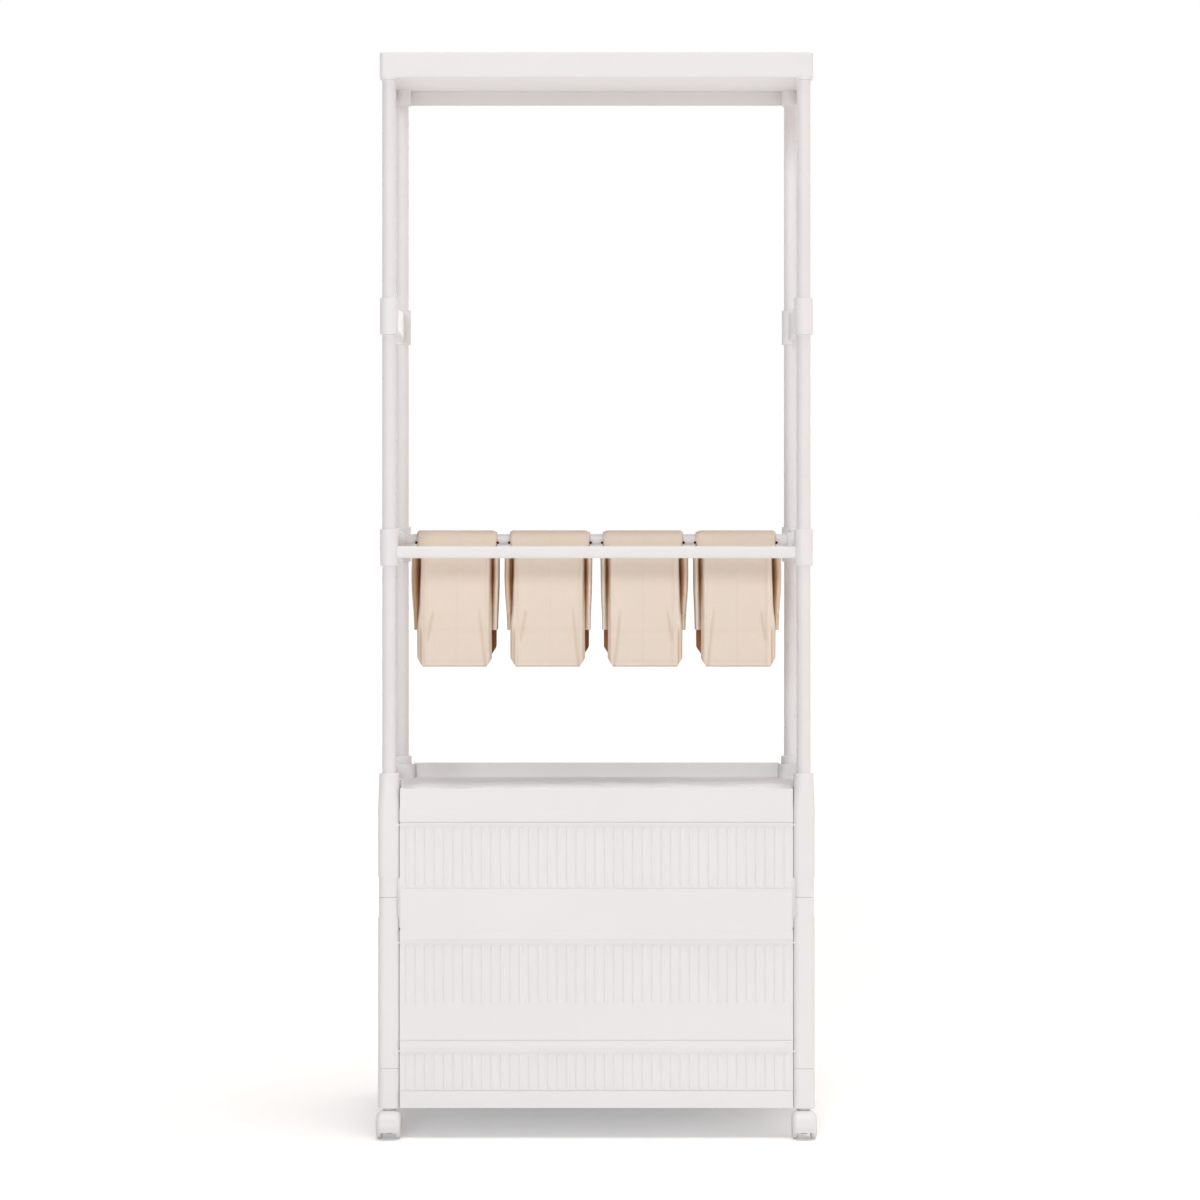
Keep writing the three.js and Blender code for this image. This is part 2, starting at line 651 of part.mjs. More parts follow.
// Twin-wheel casters: a hood with its stem, and a wheel set of two wheels on one axle
function addCasters() {
  for (const c of CORNERS) {
    const axleY = c.y + c.sy * TRAIL;
    const axleZ = WHEEL_R;
    const half = WHEEL_GAP / 2 + WHEEL_W;
    const fenderIn = WHEEL_R + FENDER_CLEAR;
    const fenderOut = fenderIn + FENDER_T;
    const fenderMiddle = axleZ + fenderIn + FENDER_T / 2;
    const webHalf = HOOD_R - FENDER_T;
    const arc = new THREE.Shape();
    const start = THREE.MathUtils.degToRad(FENDER_START);
    const end = Math.PI - start;
    arc.absarc(0, 0, fenderOut, start, end, false);
    arc.absarc(0, 0, fenderIn, end, start, true);
    const swivelLow = FOOT_Z - SEAT_GAP - SWIVEL_H;
    const hood = cut(
      join(
        slab(arc, c.x - half, c.x + half).translate([0, axleY, axleZ]),
        crossBar(c.x - HOOD_T / 2, c.x + HOOD_T / 2, axleY, axleZ, HOOD_R),
        block(c.x - HOOD_T / 2, c.x + HOOD_T / 2, axleY - webHalf, axleY + webHalf, axleZ, fenderMiddle),
        cut(
          column(c.x, c.y, SWIVEL_R, axleZ + HOOD_R, swivelLow + OVERRUN),
          crossBar(c.x - half, c.x + half, axleY, axleZ, fenderIn),
        ),
        column(c.x, c.y, SWIVEL_R, swivelLow, swivelLow + SWIVEL_H),
        column(c.x, c.y, STEM_R, swivelLow, FOOT_Z + STEM_LEN),
      ),
      crossBar(c.x - half, c.x + half, axleY, axleZ, AXLE_R + PIN_CLEAR),
    );
    place(`caster_hood_${c.tag}`, hood, "wheel");

    const wheel = (x0) => crossBar(x0, x0 + WHEEL_W, axleY, axleZ, WHEEL_R, WHEEL_SIDES);
    const set = join(
      wheel(c.x - half),
      wheel(c.x + WHEEL_GAP / 2),
      crossBar(c.x - half + AXLE_INSET, c.x + half - AXLE_INSET, axleY, axleZ, AXLE_R),
    );
    place(`caster_wheels_${c.tag}`, set, "wheel");
  }
}

// An even step from 0 to 1.
function smooth(t) {
  const s = Math.min(1, Math.max(0, t));
  return s * s * (3 - 2 * s);
}

// Half a bag's section at a drop below the bar: [x, stand-off] from the wing's edge in to the middle.
function bagSection(drop, length) {
  const cutIn = BAG_CUT_IN * Math.max(0, (drop - length + BAG_CUT) / BAG_CUT);
  const edge = BAG_W / 2 - cutIn;
  const fold = edge * BAG_FLAT;
  const wing = drop > CUFF_DROP ? edge + CLOTH_T / 4 : CUFF_W / 2;
  const open = smooth(drop / BAG_SPREAD);
  const stand = open * (BAG_STAND + BAG_BELLY * Math.sin((Math.PI * drop) / length));
  return [[wing, 0], [edge, open * CUFF_WAVE], [fold, stand], [fold / 2, stand + open * CUFF_WAVE]];
}

// A hanging bag: one closed sheet of cloth that runs up the front, over the bar and down the back. Its
// middle stands off the bar, its sides turn back, and the wings beyond them end at the cuff's hem.
function bag(x) {
  const steps = [];
  for (const [leaf, length] of [[-1, BAG_FRONT], [1, BAG_REAR]]) {
    const levels = [0, BAG_SPREAD / 3, (2 * BAG_SPREAD) / 3, BAG_SPREAD, (BAG_SPREAD + CUFF_DROP) / 2];
    levels.push(CUFF_DROP, CUFF_DROP + HEM_STEP, length - BAG_CUT, length);
    const down = levels.map((drop) => ({ leaf, drop, half: bagSection(drop, length) }));
    steps.push(...(leaf < 0 ? down.reverse() : down));
    for (let i = 1; leaf < 0 && i < TURN_STEPS; i += 1) {
      steps.push({ leaf: 0, angle: Math.PI * (1 - i / TURN_STEPS), half: bagSection(0, length) });
    }
  }
  const rings = steps.map(({ leaf, drop, angle, half }) => {
    const across = [...half, [0, half.at(-1)[1]], ...half.toReversed().map(([u, off]) => [-u, off])];
    const layer = (outward) => across.map(([u, off]) => {
      const r = BAR_R + CLOTH_CLEAR + outward;
      if (leaf === 0) return [x - u, r * Math.cos(angle), MID_BAR_Z + r * Math.sin(angle)];
      return [x - u, leaf * (r + off), MID_BAR_Z - drop];
    });
    return [...layer(CLOTH_T), ...layer(0).reverse()];
  });
  const whole = capped(rings);
  return whole.volume() < 0 ? capped(rings.reverse()) : whole;
}

function addBags() {
  for (let i = 0; i < BAG_COUNT; i += 1) {
    place(`bag_${i + 1}`, bag((i - (BAG_COUNT - 1) / 2) * BAG_PITCH), "cloth");
  }
}

addPosts();
addFrames();
addFronts();
addWalls();
addBraces();
addRails();
addUprights();
addTopShelf();
addCasters();
addBags();

export default part;
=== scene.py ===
"""A white plastic wardrobe stand on casters, with its finishes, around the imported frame.

Metres, +X to the right, +Y to the back, +Z up, origin on the floor under the middle.
"""

import logging
import math
from dataclasses import dataclass, field
from enum import Enum
from typing import Callable, Sequence

import bmesh
import bpy
from mathutils import Matrix, Vector, noise


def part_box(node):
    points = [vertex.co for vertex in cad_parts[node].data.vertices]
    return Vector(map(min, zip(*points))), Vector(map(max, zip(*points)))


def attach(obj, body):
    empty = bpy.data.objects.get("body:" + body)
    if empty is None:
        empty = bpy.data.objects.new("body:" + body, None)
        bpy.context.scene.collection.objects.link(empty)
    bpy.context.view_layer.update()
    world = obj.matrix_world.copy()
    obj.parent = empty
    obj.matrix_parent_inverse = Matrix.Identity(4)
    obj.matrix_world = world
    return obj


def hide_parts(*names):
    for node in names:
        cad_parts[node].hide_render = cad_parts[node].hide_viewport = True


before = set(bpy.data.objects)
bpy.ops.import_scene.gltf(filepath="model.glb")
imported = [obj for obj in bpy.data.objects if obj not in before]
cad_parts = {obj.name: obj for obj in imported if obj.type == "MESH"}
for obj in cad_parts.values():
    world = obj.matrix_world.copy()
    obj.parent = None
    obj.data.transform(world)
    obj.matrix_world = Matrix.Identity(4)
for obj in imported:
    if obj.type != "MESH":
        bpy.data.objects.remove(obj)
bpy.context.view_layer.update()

LOG = logging.getLogger("wardrobe")
MM = 0.001
MERGE_WITHIN = 1e-6
SHARP_ANGLE = math.radians(32)
RIB_FACETS = 16
TUBE_FACETS = 40

# The part of a noise pattern's range that is spread over the whole of another.
MIDDLE_RANGE = (0.3, 0.7)

# The radians that a wave texture turns in one unit of its scaled place.
WAVE_TURN = 20

# The numbers of a colour mix's share and two colours, and of its result.
MIX_INPUTS = (0, 6, 7)
MIX_RESULT = 2

Colour = tuple[float, float, float]
Ring = list[Vector]
Pairs = Sequence[tuple[float, float]]
Grid = tuple[list[list[Vector]], list[list[float]]]
Socket = bpy.types.NodeSocket


class Slot(Enum):
    """The record's material slots."""

    SHELL = "shell"
    TUBE = "tube"
    CASTER = "caster"
    CLOTH = "cloth"


class Side(Enum):
    """Left or right, seen from the front."""

    LEFT = -1
    RIGHT = 1


class End(Enum):
    """Front or rear."""

    FRONT = -1
    REAR = 1


@dataclass(frozen=True)
class Corner:
    """One of the stand's four corners."""

    side: Side
    end: End
    x: float
    y: float

    @property
    def tag(self) -> str:
        """The ending of the corner's node names."""
        return f"{self.end.name.lower()}_{self.side.name.lower()}"


@dataclass(frozen=True)
class StandSizes:
    """Sizes that several sub-assemblies share."""

    span_x: float = 650 * MM
    span_y: float = 360 * MM
    tube_r: float = 11 * MM
    bore_r: float = 11.3 * MM
    post_w: float = 34 * MM
    seat_gap: float = 0.3 * MM

    def corners(self) -> list[Corner]:
        """The four corners.

        Returns:
            One corner for each pair of side and end.
        """
        return [
            Corner(side, end, side.value * self.span_x / 2, end.value * self.span_y / 2)
            for side in Side
            for end in End
        ]


SIZES = StandSizes()


def srgb(red: int, green: int, blue: int) -> Colour:
    """Turn a colour of 0 to 255 into the linear values that a shader takes.

    Args:
        red: Red share.
        green: Green share.
        blue: Blue share.

    Returns:
        The three linear shares.
    """

    def linear(value: int) -> float:
        """One share, made linear."""
        share = value / 255
        return share / 12.92 if share <= 0.04045 else ((share + 0.055) / 1.055) ** 2.4

    return linear(red), linear(green), linear(blue)


class NodeTree:
    """A node tree that is built in code."""

    def __init__(self, tree: bpy.types.NodeTree) -> None:
        """Start with no nodes.

        Args:
            tree: The tree, which is cleared.
        """
        self.nodes, self.links = tree.nodes, tree.links
        self.nodes.clear()

    def node(self, kind: str, inputs: dict, **settings: object) -> bpy.types.Node:
        """Add a node.

        Args:
            kind: The node's type.
            inputs: A value or an output socket for each named or numbered input.
            **settings: The node's own properties.

        Returns:
            The new node.
        """
        node = self.nodes.new(kind)
        for key, value in settings.items():
            setattr(node, key, value)
        for key, value in inputs.items():
            if isinstance(value, Socket):
                self.links.new(value, node.inputs[key])
            else:
                node.inputs[key].default_value = value
        return node


class ShaderTree(NodeTree):
    """A material's nodes around one Principled shader."""

    def __init__(self, name: str) -> None:
        """Start a material with a bare shader.

        Args:
            name: The material's name.
        """
        self.material = bpy.data.materials.new(name)
        self.material.use_nodes = True
        super().__init__(self.material.node_tree)
        self.shader = self.node("ShaderNodeBsdfPrincipled", {})
        self.node("ShaderNodeOutputMaterial", {"Surface": self.shader.outputs["BSDF"]})
        self.place = self.node("ShaderNodeTexCoord", {}).outputs["Object"]

    def noise(self, scale: float, detail: float = 2.0, place: Socket | None = None) -> Socket:
        """A noise pattern.

        Args:
            scale: Lumps per metre.
            detail: Octaves of finer lumps.
            place: The coordinates, or None for the object's own.

        Returns:
            The pattern's value, from 0 to 1.
        """
        inputs = {"Vector": place or self.place, "Scale": scale, "Detail": detail}
        return self.node("ShaderNodeTexNoise", inputs).outputs["Fac"]

    def ranged(self, value: Socket, low: float, high: float) -> Socket:
        """Spread a pattern's middle range between two values.

        Args:
            value: The pattern.
            low: The value at the low end of MIDDLE_RANGE.
            high: The value at its high end.

        Returns:
            The spread value.
        """
        start, end = MIDDLE_RANGE
        inputs = {"Value": value, "From Min": start, "From Max": end, "To Min": low, "To Max": high}
        return self.node("ShaderNodeMapRange", inputs).outputs["Result"]

    def mix(self, share: Socket | float, first: Socket | Colour, second: Socket | Colour) -> Socket:
        """Mix two colours.

        Args:
            share: The second colour's share.
            first: A colour or a colour socket.
            second: A colour or a colour socket.

        Returns:
            The mixed colour.
        """
        share_input, first_input, second_input = MIX_INPUTS
        inputs = {share_input: share}
        for index, value in ((first_input, first), (second_input, second)):
            inputs[index] = value if isinstance(value, Socket) else (*value, 1)
        return self.node("ShaderNodeMix", inputs, data_type="RGBA").outputs[MIX_RESULT]

    def bump(self, height: Socket, distance: float, below: Socket | None = None) -> Socket:
        """Raise a pattern from the surface.

        Args:
            height: The pattern, from 0 to 1.
            distance: Its height in metres.
            below: The normal of a coarser bump under it.

        Returns:
            The bumped normal.
        """
        inputs = {"Height": height, "Distance": distance, "Strength": 1.0}
        if below:
            inputs["Normal"] = below
        return self.node("ShaderNodeBump", inputs).outputs["Normal"]

    def drive(self, name: str, value: object) -> None:
        """Set or link one of the shader's inputs.

        Args:
            name: The input's name.
            value: A value or an output socket.
        """
        if isinstance(value, Socket):
            self.links.new(value, self.shader.inputs[name])
        else:
            self.shader.inputs[name].default_value = value


def shade(colour: Colour, factor: float) -> Colour:
    """A colour made darker or lighter by a factor."""
    return colour[0] * factor, colour[1] * factor, colour[2] * factor


@dataclass(frozen=True)
class MouldedPlastic:
    """Satin injection-moulded plastic: spark-eroded grain, faint clouding and uneven gloss."""

    name: str
    colour: Colour
    roughness: float = 0.46
    roughness_spread: tuple[float, float] = (0.05, 0.06)
    specular: float = 0.28
    cloud_tone: float = 0.975
    clouds_per_metre: float = 5.0
    gloss_per_metre: float = 38.0
    ripples_per_metre: float = 14.0
    ripple_height: float = 0.05 * MM
    grain_per_metre: float = 1100.0
    grain_height: float = 0.012 * MM

    def build(self) -> bpy.types.Material:
        """Make the material.

        Returns:
            The material.
        """
        tree = ShaderTree(self.name)
        clouds = tree.ranged(tree.noise(self.clouds_per_metre, 4.0), 0.0, 1.0)
        tree.drive("Base Color", tree.mix(clouds, shade(self.colour, self.cloud_tone), self.colour))
        gloss = tree.noise(self.gloss_per_metre, 3.0)
        under, over = self.roughness_spread
        tree.drive("Roughness", tree.ranged(gloss, self.roughness - under, self.roughness + over))
        ripple = tree.bump(tree.noise(self.ripples_per_metre, 1.0), self.ripple_height)
        tree.drive("Normal", tree.bump(tree.noise(self.grain_per_metre, 1.0), self.grain_height, ripple))
        tree.drive("Specular IOR Level", self.specular)
        return tree.material


@dataclass(frozen=True)
class CoatedTube:
    """Powder-coated steel tube: a smooth coat with fine orange peel."""

    name: str
    colour: Colour
    roughness: float = 0.3
    roughness_spread: tuple[float, float] = (0.04, 0.06)
    specular: float = 0.16
    cloud_tone: float = 0.97
    clouds_per_metre: float = 9.0
    gloss_per_metre: float = 60.0
    peel_per_metre: float = 420.0
    peel_height: float = 0.02 * MM

    def build(self) -> bpy.types.Material:
        """Make the material.

        Returns:
            The material.
        """
        tree = ShaderTree(self.name)
        clouds = tree.ranged(tree.noise(self.clouds_per_metre, 3.0), 0.0, 1.0)
        tree.drive("Base Color", tree.mix(clouds, shade(self.colour, self.cloud_tone), self.colour))
        gloss = tree.noise(self.gloss_per_metre)
        under, over = self.roughness_spread
        tree.drive("Roughness", tree.ranged(gloss, self.roughness - under, self.roughness + over))
        tree.drive("Normal", tree.bump(tree.noise(self.peel_per_metre, 2.0), self.peel_height))
        tree.drive("Specular IOR Level", self.specular)
        return tree.material


@dataclass(frozen=True)
class PlainWeave:
    """Undyed plain-woven cloth: crossing threads with painted shade in their dips, slubs, soft mottling and a
    fuzzy sheen.
    """

    name: str
    colour: Colour
    painted_shade: Colour | None = None
    thread: float = 0.62 * MM
    thread_height: float = 0.11 * MM
    slubs_per_metre: float = 1300.0
    slub_squeeze: float = 0.05
    slub_range: tuple[float, float] = (0.15, 0.4)
    slub_height: float = 0.1 * MM
    slub_tone: float = 0.93
    mottles_per_metre: float = 26.0
    mottle_tone: float = 0.95
    dip_shade_tone: float = 0.92
    roughness: float = 0.92
    sheen: float = 0.06
    sheen_roughness: float = 0.45
    specular: float = 0.12

    def weave(self, tree: ShaderTree, flat: Socket) -> Socket:
        """The height of the crossing threads.

        Args:
            tree: The material's tree.
            flat: The place on the flat cloth in metres.

        Returns:
            The height, from 0 to 1.
        """
        per_metre = 1 / self.thread
        waves = {
            direction: tree.node(
                "ShaderNodeTexWave",
                {"Vector": flat, "Scale": per_metre / WAVE_TURN * math.pi, "Distortion": 0.0},
                bands_direction=direction,
                wave_profile="SIN",
            ).outputs["Fac"]
            for direction in ("X", "Y")
        }
        over = tree.node("ShaderNodeTexChecker", {"Vector": flat, "Scale": per_metre}).outputs["Fac"]
        crossing = {0: over, 2: waves["X"], 3: waves["Y"]}
        return tree.node("ShaderNodeMix", crossing, data_type="FLOAT").outputs[0]

    def slubs(self, tree: ShaderTree, flat: Socket) -> Socket:
        """The thick places in the threads of both directions.

        Args:
            tree: The material's tree.
            flat: The place on the flat cloth in metres.

        Returns:
            Their height, from 0 to 1.
        """
        squeeze = self.slub_squeeze
        runs = [
            tree.noise(
                self.slubs_per_metre, 1.0,
                tree.node("ShaderNodeMapping", {"Vector": flat, "Scale": scale}).outputs["Vector"],
            )
            for scale in ((1.0, squeeze, 1.0), (squeeze, 1.0, 1.0))
        ]
        return tree.node("ShaderNodeMath", {0: runs[0], 1: runs[1]}, operation="MULTIPLY").outputs["Value"]

    def build(self) -> bpy.types.Material:
        """Make the material.

        Returns:
            The material, which reads the piece's own UV maps: the flat cloth in metres, and each
            place's share of painted shade.
        """
        tree = ShaderTree(self.name)
        flat = tree.node("ShaderNodeUVMap", {}, uv_map="cloth").outputs["UV"]
        weave, slubs = self.weave(tree, flat), self.slubs(tree, flat)
        mottle = tree.ranged(tree.noise(self.mottles_per_metre, 4.0, flat), 0.0, 1.0)
        ground = tree.mix(mottle, shade(self.colour, self.mottle_tone), self.colour)
        low, high = self.slub_range
        lines = tree.node("ShaderNodeMapRange", {"Value": slubs, "From Min": low, "From Max": high})
        threaded = tree.mix(lines.outputs["Result"], shade(self.colour, self.slub_tone), ground)
        # Painted shade where the threads dip under each other.
        dip_shaded = tree.mix(0.5, threaded, shade(self.colour, self.dip_shade_tone))
        woven = tree.mix(weave, dip_shaded, threaded)
        # Painted shade, mixed in by each place's share of shade from the piece's own UV map.
        if self.painted_shade:
            fold = tree.node("ShaderNodeUVMap", {}, uv_map="fold").outputs["UV"]
            depth = tree.node("ShaderNodeSeparateXYZ", {"Vector": fold}).outputs["X"]
            woven = tree.mix(depth, woven, self.painted_shade)
        tree.drive("Base Color", woven)
        raised = tree.bump(slubs, self.slub_height)
        tree.drive("Normal", tree.bump(weave, self.thread_height, raised))
        tree.drive("Roughness", self.roughness)
        tree.drive("Sheen Weight", self.sheen)
        tree.drive("Sheen Roughness", self.sheen_roughness)
        tree.drive("Specular IOR Level", self.specular)
        return tree.material


SHELL_COLOUR = srgb(235, 233, 234)
TUBE_COLOUR = srgb(233, 230, 231)
CASTER_COLOUR = srgb(231, 229, 229)
WHEEL_COLOUR = srgb(226, 223, 222)
CLOTH_COLOUR = srgb(246, 231, 216)
# Painted shade: the brown that the bags' grooves, creases, edges and top band are darkened towards.
PAINTED_SHADE_COLOUR = srgb(188, 132, 70)
# Painted shade on the bags' back faces and rims, where the inside of each bag lies in shade.
BACK_SHADE_COLOUR = srgb(176, 122, 80)
THREAD_COLOUR = srgb(222, 202, 182)
# Painted shadow in the gaps where the cloth loops round the bar.
SHADOW_GAP_COLOUR = srgb(74, 48, 34)
SEWING_THREAD = 0.3 * MM

MATERIALS = {
    "shell": MouldedPlastic("satin_shell", SHELL_COLOUR).build(),
    "tube": CoatedTube("coated_tube", TUBE_COLOUR).build(),
    "hood": MouldedPlastic("caster_hood", CASTER_COLOUR, roughness=0.4).build(),
    "wheel": MouldedPlastic("caster_tread", WHEEL_COLOUR, roughness=0.55, grain_per_metre=500.0).build(),
    # The cloth's second colour is painted shade.
    "cloth": PlainWeave("undyed_cloth", CLOTH_COLOUR, PAINTED_SHADE_COLOUR).build(),
    # Brown cloth for the back faces and rims: painted shade.
    "painted_shade": PlainWeave("brown_painted_shade", BACK_SHADE_COLOUR).build(),
    "thread": PlainWeave("sewing_thread", THREAD_COLOUR, thread=SEWING_THREAD).build(),
    # Dark balls at the bar: painted shadow.
    "shadow_gap": PlainWeave("painted_shadow_gap", SHADOW_GAP_COLOUR, thread=SEWING_THREAD).build(),
}


class Workpiece:
    """A mesh under construction, made of closed forms."""

    def __init__(self) -> None:
        """Start with no geometry."""
        self.bm = bmesh.new()

    def absorb(self, form: bmesh.types.BMesh, edge: float = 0.0, segments: int = 2) -> "Workpiece":
        """Add a form, with its doubles merged, its faces out and its edges rounded.

        Args:
            form: The form, which is freed.
            edge: The width of the rounding, or 0 for none.
            segments: The rounding's facets.

        Returns:
            This workpiece.
        """
        bmesh.ops.remove_doubles(form, verts=form.verts, dist=MERGE_WITHIN)
        bmesh.ops.recalc_face_normals(form, faces=form.faces)
        if edge:
            sharp = [e for e in form.edges if len(e.link_faces) == 2 and e.calc_face_angle() > SHARP_ANGLE]
            bmesh.ops.bevel(
                form, geom=sharp, offset=edge, segments=segments,
                profile=0.5, affect="EDGES", clamp_overlap=True,
            )
        carrier = bpy.data.meshes.new("form")
        form.to_mesh(carrier)
        form.free()
        self.bm.from_mesh(carrier)
        bpy.data.meshes.remove(carrier)
        return self

    def mesh(self, mesh: bpy.types.Mesh) -> "Workpiece":
        """Add a finished mesh and remove the original.

        Args:
            mesh: The mesh.

        Returns:
            This workpiece.
        """
        self.bm.from_mesh(mesh)
        bpy.data.meshes.remove(mesh)
        return self

    @staticmethod
    def skin(rings: Sequence[Ring], around: bool) -> tuple[bmesh.types.BMesh, list[list[bmesh.types.BMVert]]]:
        """A form with quads over rings of as many points each.

        Args:
            rings: The rings, in order.
            around: Whether the last ring joins the first.

        Returns:
            The form and the vertices of its rings.
        """
        form = bmesh.new()
        rows = [[form.verts.new(p) for p in ring] for ring in rings]
        size = len(rows[0])
        for i in range(len(rows) if around else len(rows) - 1):
            near, far = rows[i], rows[(i + 1) % len(rows)]
            for k in range(size):
                n = (k + 1) % size
                form.faces.new((near[k], near[n], far[n], far[k]))
        return form, rows

    def loft(self, rings: Sequence[Ring], around: bool = False, edge: float = 0.0) -> "Workpiece":
        """Add a skin over rings of as many points each.

        Args:
            rings: The rings, in order.
            around: Whether the last ring joins the first, instead of both being capped.
            edge: The width of the edges' rounding.

        Returns:
            This workpiece.
        """
        form, rows = self.skin(rings, around)
        if not around:
            form.faces.new(list(reversed(rows[0])))
            form.faces.new(rows[-1])
        return self.absorb(form, edge)

    def lathe(self, profile: Pairs, place: Matrix, steps: int = 40, ring: bool = False) -> "Workpiece":
        """Add a turned form.

        Args:
            profile: Radius and height of each point, from the axis back to the axis, or round a loop.
            place: Where the turning axis, +Z, goes.
            steps: Facets around the axis.
            ring: Whether the profile is a loop that stays off the axis.

        Returns:
            This workpiece.
        """
        angles = [2 * math.pi * k / steps for k in range(steps)]
        rings = [[place @ Vector((r * math.cos(a), r * math.sin(a), h)) for a in angles] for r, h in profile]
        return self.absorb(self.skin(rings, ring)[0])

    def box(self, low: Sequence[float], high: Sequence[float], edge: float, segments: int = 3) -> "Workpiece":
        """Add a block with rounded edges.

        Args:
            low: Lowest corner.
            high: Highest corner.
            edge: The width of the edges' rounding.
            segments: The rounding's facets.

        Returns:
            This workpiece.
        """
        form = bmesh.new()
        size = [b - a for a, b in zip(low, high)]
        middle = [(a + b) / 2 for a, b in zip(low, high)]
        bmesh.ops.create_cube(form, size=1.0, matrix=Matrix.Translation(middle) @ Matrix.Diagonal((*size, 1)))
        return self.absorb(form, edge, segments)

    def node(self, name: str, edge: float) -> "Workpiece":
        """Add a copy of a flat-sided frame node with its edges rounded.

        Args:
            name: The node.
            edge: The width of the edges' rounding.

        Returns:
            This workpiece.
        """
        form = bmesh.new()
        form.from_mesh(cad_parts[name].data)
        bmesh.ops.remove_doubles(form, verts=form.verts, dist=MERGE_WITHIN)
        bmesh.ops.dissolve_limit(form, angle_limit=math.radians(1), verts=form.verts, edges=form.edges)
        return self.absorb(form, edge)

    def finish(self, name: str, material: bpy.types.Material) -> bpy.types.Object:
        """Turn the work into a shown object at the origin.

        Args:
            name: The piece's name.
            material: Its material.

        Returns:
            The object.
        """
        mesh = bpy.data.meshes.new(name)
        self.bm.to_mesh(mesh)
        self.bm.free()
        mesh.materials.clear()
        mesh.materials.append(material)
        for polygon in mesh.polygons:
            polygon.material_index = 0
        mesh.shade_smooth()
        mesh.set_sharp_from_angle(angle=SHARP_ANGLE)
        piece = bpy.data.objects.new(name, mesh)
        bpy.context.scene.collection.objects.link(piece)
        piece.modifiers.new("flat_faces", "WEIGHTED_NORMAL").keep_sharp = True
        graph = bpy.context.evaluated_depsgraph_get()
        piece.data = bpy.data.meshes.new_from_object(piece.evaluated_get(graph), depsgraph=graph)
        piece.data.name = name
        piece.modifiers.clear()
        bpy.data.meshes.remove(mesh)
        return piece


def dress(piece: bpy.types.Object, body: str, slot: Slot, *nodes: str) -> bpy.types.Object:
    """Put a finished piece on its body, in place of its nodes.

    Args:
        piece: The piece.
        body: The body that it rides on.
        slot: The piece's material slot, which is not used.
        *nodes: The frame nodes that it stands for.

    Returns:
        The piece.
    """
    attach(piece, body)
    if nodes:
        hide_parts(*nodes)
    LOG.info("%s on %s: %d faces", piece.name, body, len(piece.data.polygons))
    return piece


def dress_shell(work: Workpiece, name: str, *nodes: str, body: str = "frame") -> bpy.types.Object:
    """Finish a workpiece in shell plastic and put it on its body, in place of its nodes."""
    return dress(work.finish(name, MATERIALS["shell"]), body, Slot.SHELL, *nodes)


def rounded_ring(
    middle: Vector, half: tuple[float, float], radius: float, axes: tuple[Vector, Vector], steps: int = 7
) -> Ring:
    """A rounded rectangle as a ring of points.

    Args:
        middle: Its centre.
        half: Half its size along each axis.
        radius: Its corners' radius.
        axes: The two directions that it lies along.
        steps: Points on each corner.

    Returns:
        The points, turning from the first axis to the second.
    """
    ring = []
    for corner in range(4):
        diagonal = (corner + 0.5) * math.pi / 2
        centre_a = math.copysign(half[0] - radius, math.cos(diagonal))
        centre_b = math.copysign(half[1] - radius, math.sin(diagonal))
        for k in range(steps):
            angle = (corner + k / (steps - 1)) * math.pi / 2
            a = centre_a + radius * math.cos(angle)
            b = centre_b + radius * math.sin(angle)
            ring.append(middle + axes[0] * a + axes[1] * b)
    return ring


AXIS_X, AXIS_Y, AXIS_Z = Vector((1, 0, 0)), Vector((0, 1, 0)), Vector((0, 0, 1))
PLAN = (AXIS_X, AXIS_Y)


def upright_at(x: float, y: float, z: float = 0.0) -> Matrix:
    """The place of a turned form whose axis stands upright."""
    return Matrix.Translation((x, y, z))


def across_at(x: float, y: float, z: float) -> Matrix:
    """The place of a turned form whose axis runs along +X."""
    return Matrix.Translation((x, y, z)) @ Matrix.Rotation(math.pi / 2, 4, "Y")


class GeometryTree(NodeTree):
    """A Geometry Nodes tree with a named input for each size."""

    def __init__(self, name: str) -> None:
        """Start a tree with a geometry input and a material input.

        Args:
            name: The tree's name.
        """
        self.group = bpy.data.node_groups.new(name, "GeometryNodeTree")
        super().__init__(self.group)
        self.group.interface.new_socket("Geometry", in_out="INPUT", socket_type="NodeSocketGeometry")
        self.group.interface.new_socket("Material", in_out="INPUT", socket_type="NodeSocketMaterial")
        self.group.interface.new_socket("Geometry", in_out="OUTPUT", socket_type="NodeSocketGeometry")
        self.entry = self.node("NodeGroupInput", {})

    def size(self, name: str, kind: str = "NodeSocketFloat") -> Socket:
        """Add a named input.

        Args:
            name: The input's name.
            kind: Its socket type.

        Returns:
            The socket that gives its value.
        """
        self.group.interface.new_socket(name, in_out="INPUT", socket_type=kind)
        return self.entry.outputs[name]

    def end(self, geometry: Socket) -> "GeometryTree":
        """Close the tree with Realize Instances and Set Material.

        Args:
            geometry: The tree's result so far.

        Returns:
            This tree.
        """
        real = self.node("GeometryNodeRealizeInstances", {"Geometry": geometry})
        inputs = {"Geometry": real.outputs["Geometry"], "Material": self.entry.outputs["Material"]}
        painted = self.node("GeometryNodeSetMaterial", inputs)
        self.node("NodeGroupOutput", {"Geometry": painted.outputs["Geometry"]})
        return self

    def run(self, values: dict, start: bpy.types.Mesh | None = None) -> bpy.types.Mesh:
        """Run the tree once.

        Args:
            values: A value for each named input.
            start: The geometry that it starts from, or None.

        Returns:
            The result as a plain mesh.
        """
        carrier = bpy.data.objects.new("carrier", start or bpy.data.meshes.new("start"))
        bpy.context.scene.collection.objects.link(carrier)
        modifier = carrier.modifiers.new("tree", "NODES")
        modifier.node_group = self.group
        for item in self.group.interface.items_tree:
            if item.item_type == "SOCKET" and item.in_out == "INPUT" and item.name in values:
                modifier[item.identifier] = values[item.name]
        graph = bpy.context.evaluated_depsgraph_get()
        mesh = bpy.data.meshes.new_from_object(carrier.evaluated_get(graph), depsgraph=graph)
        base = carrier.data
        bpy.data.objects.remove(carrier)
        bpy.data.meshes.remove(base)
        return mesh


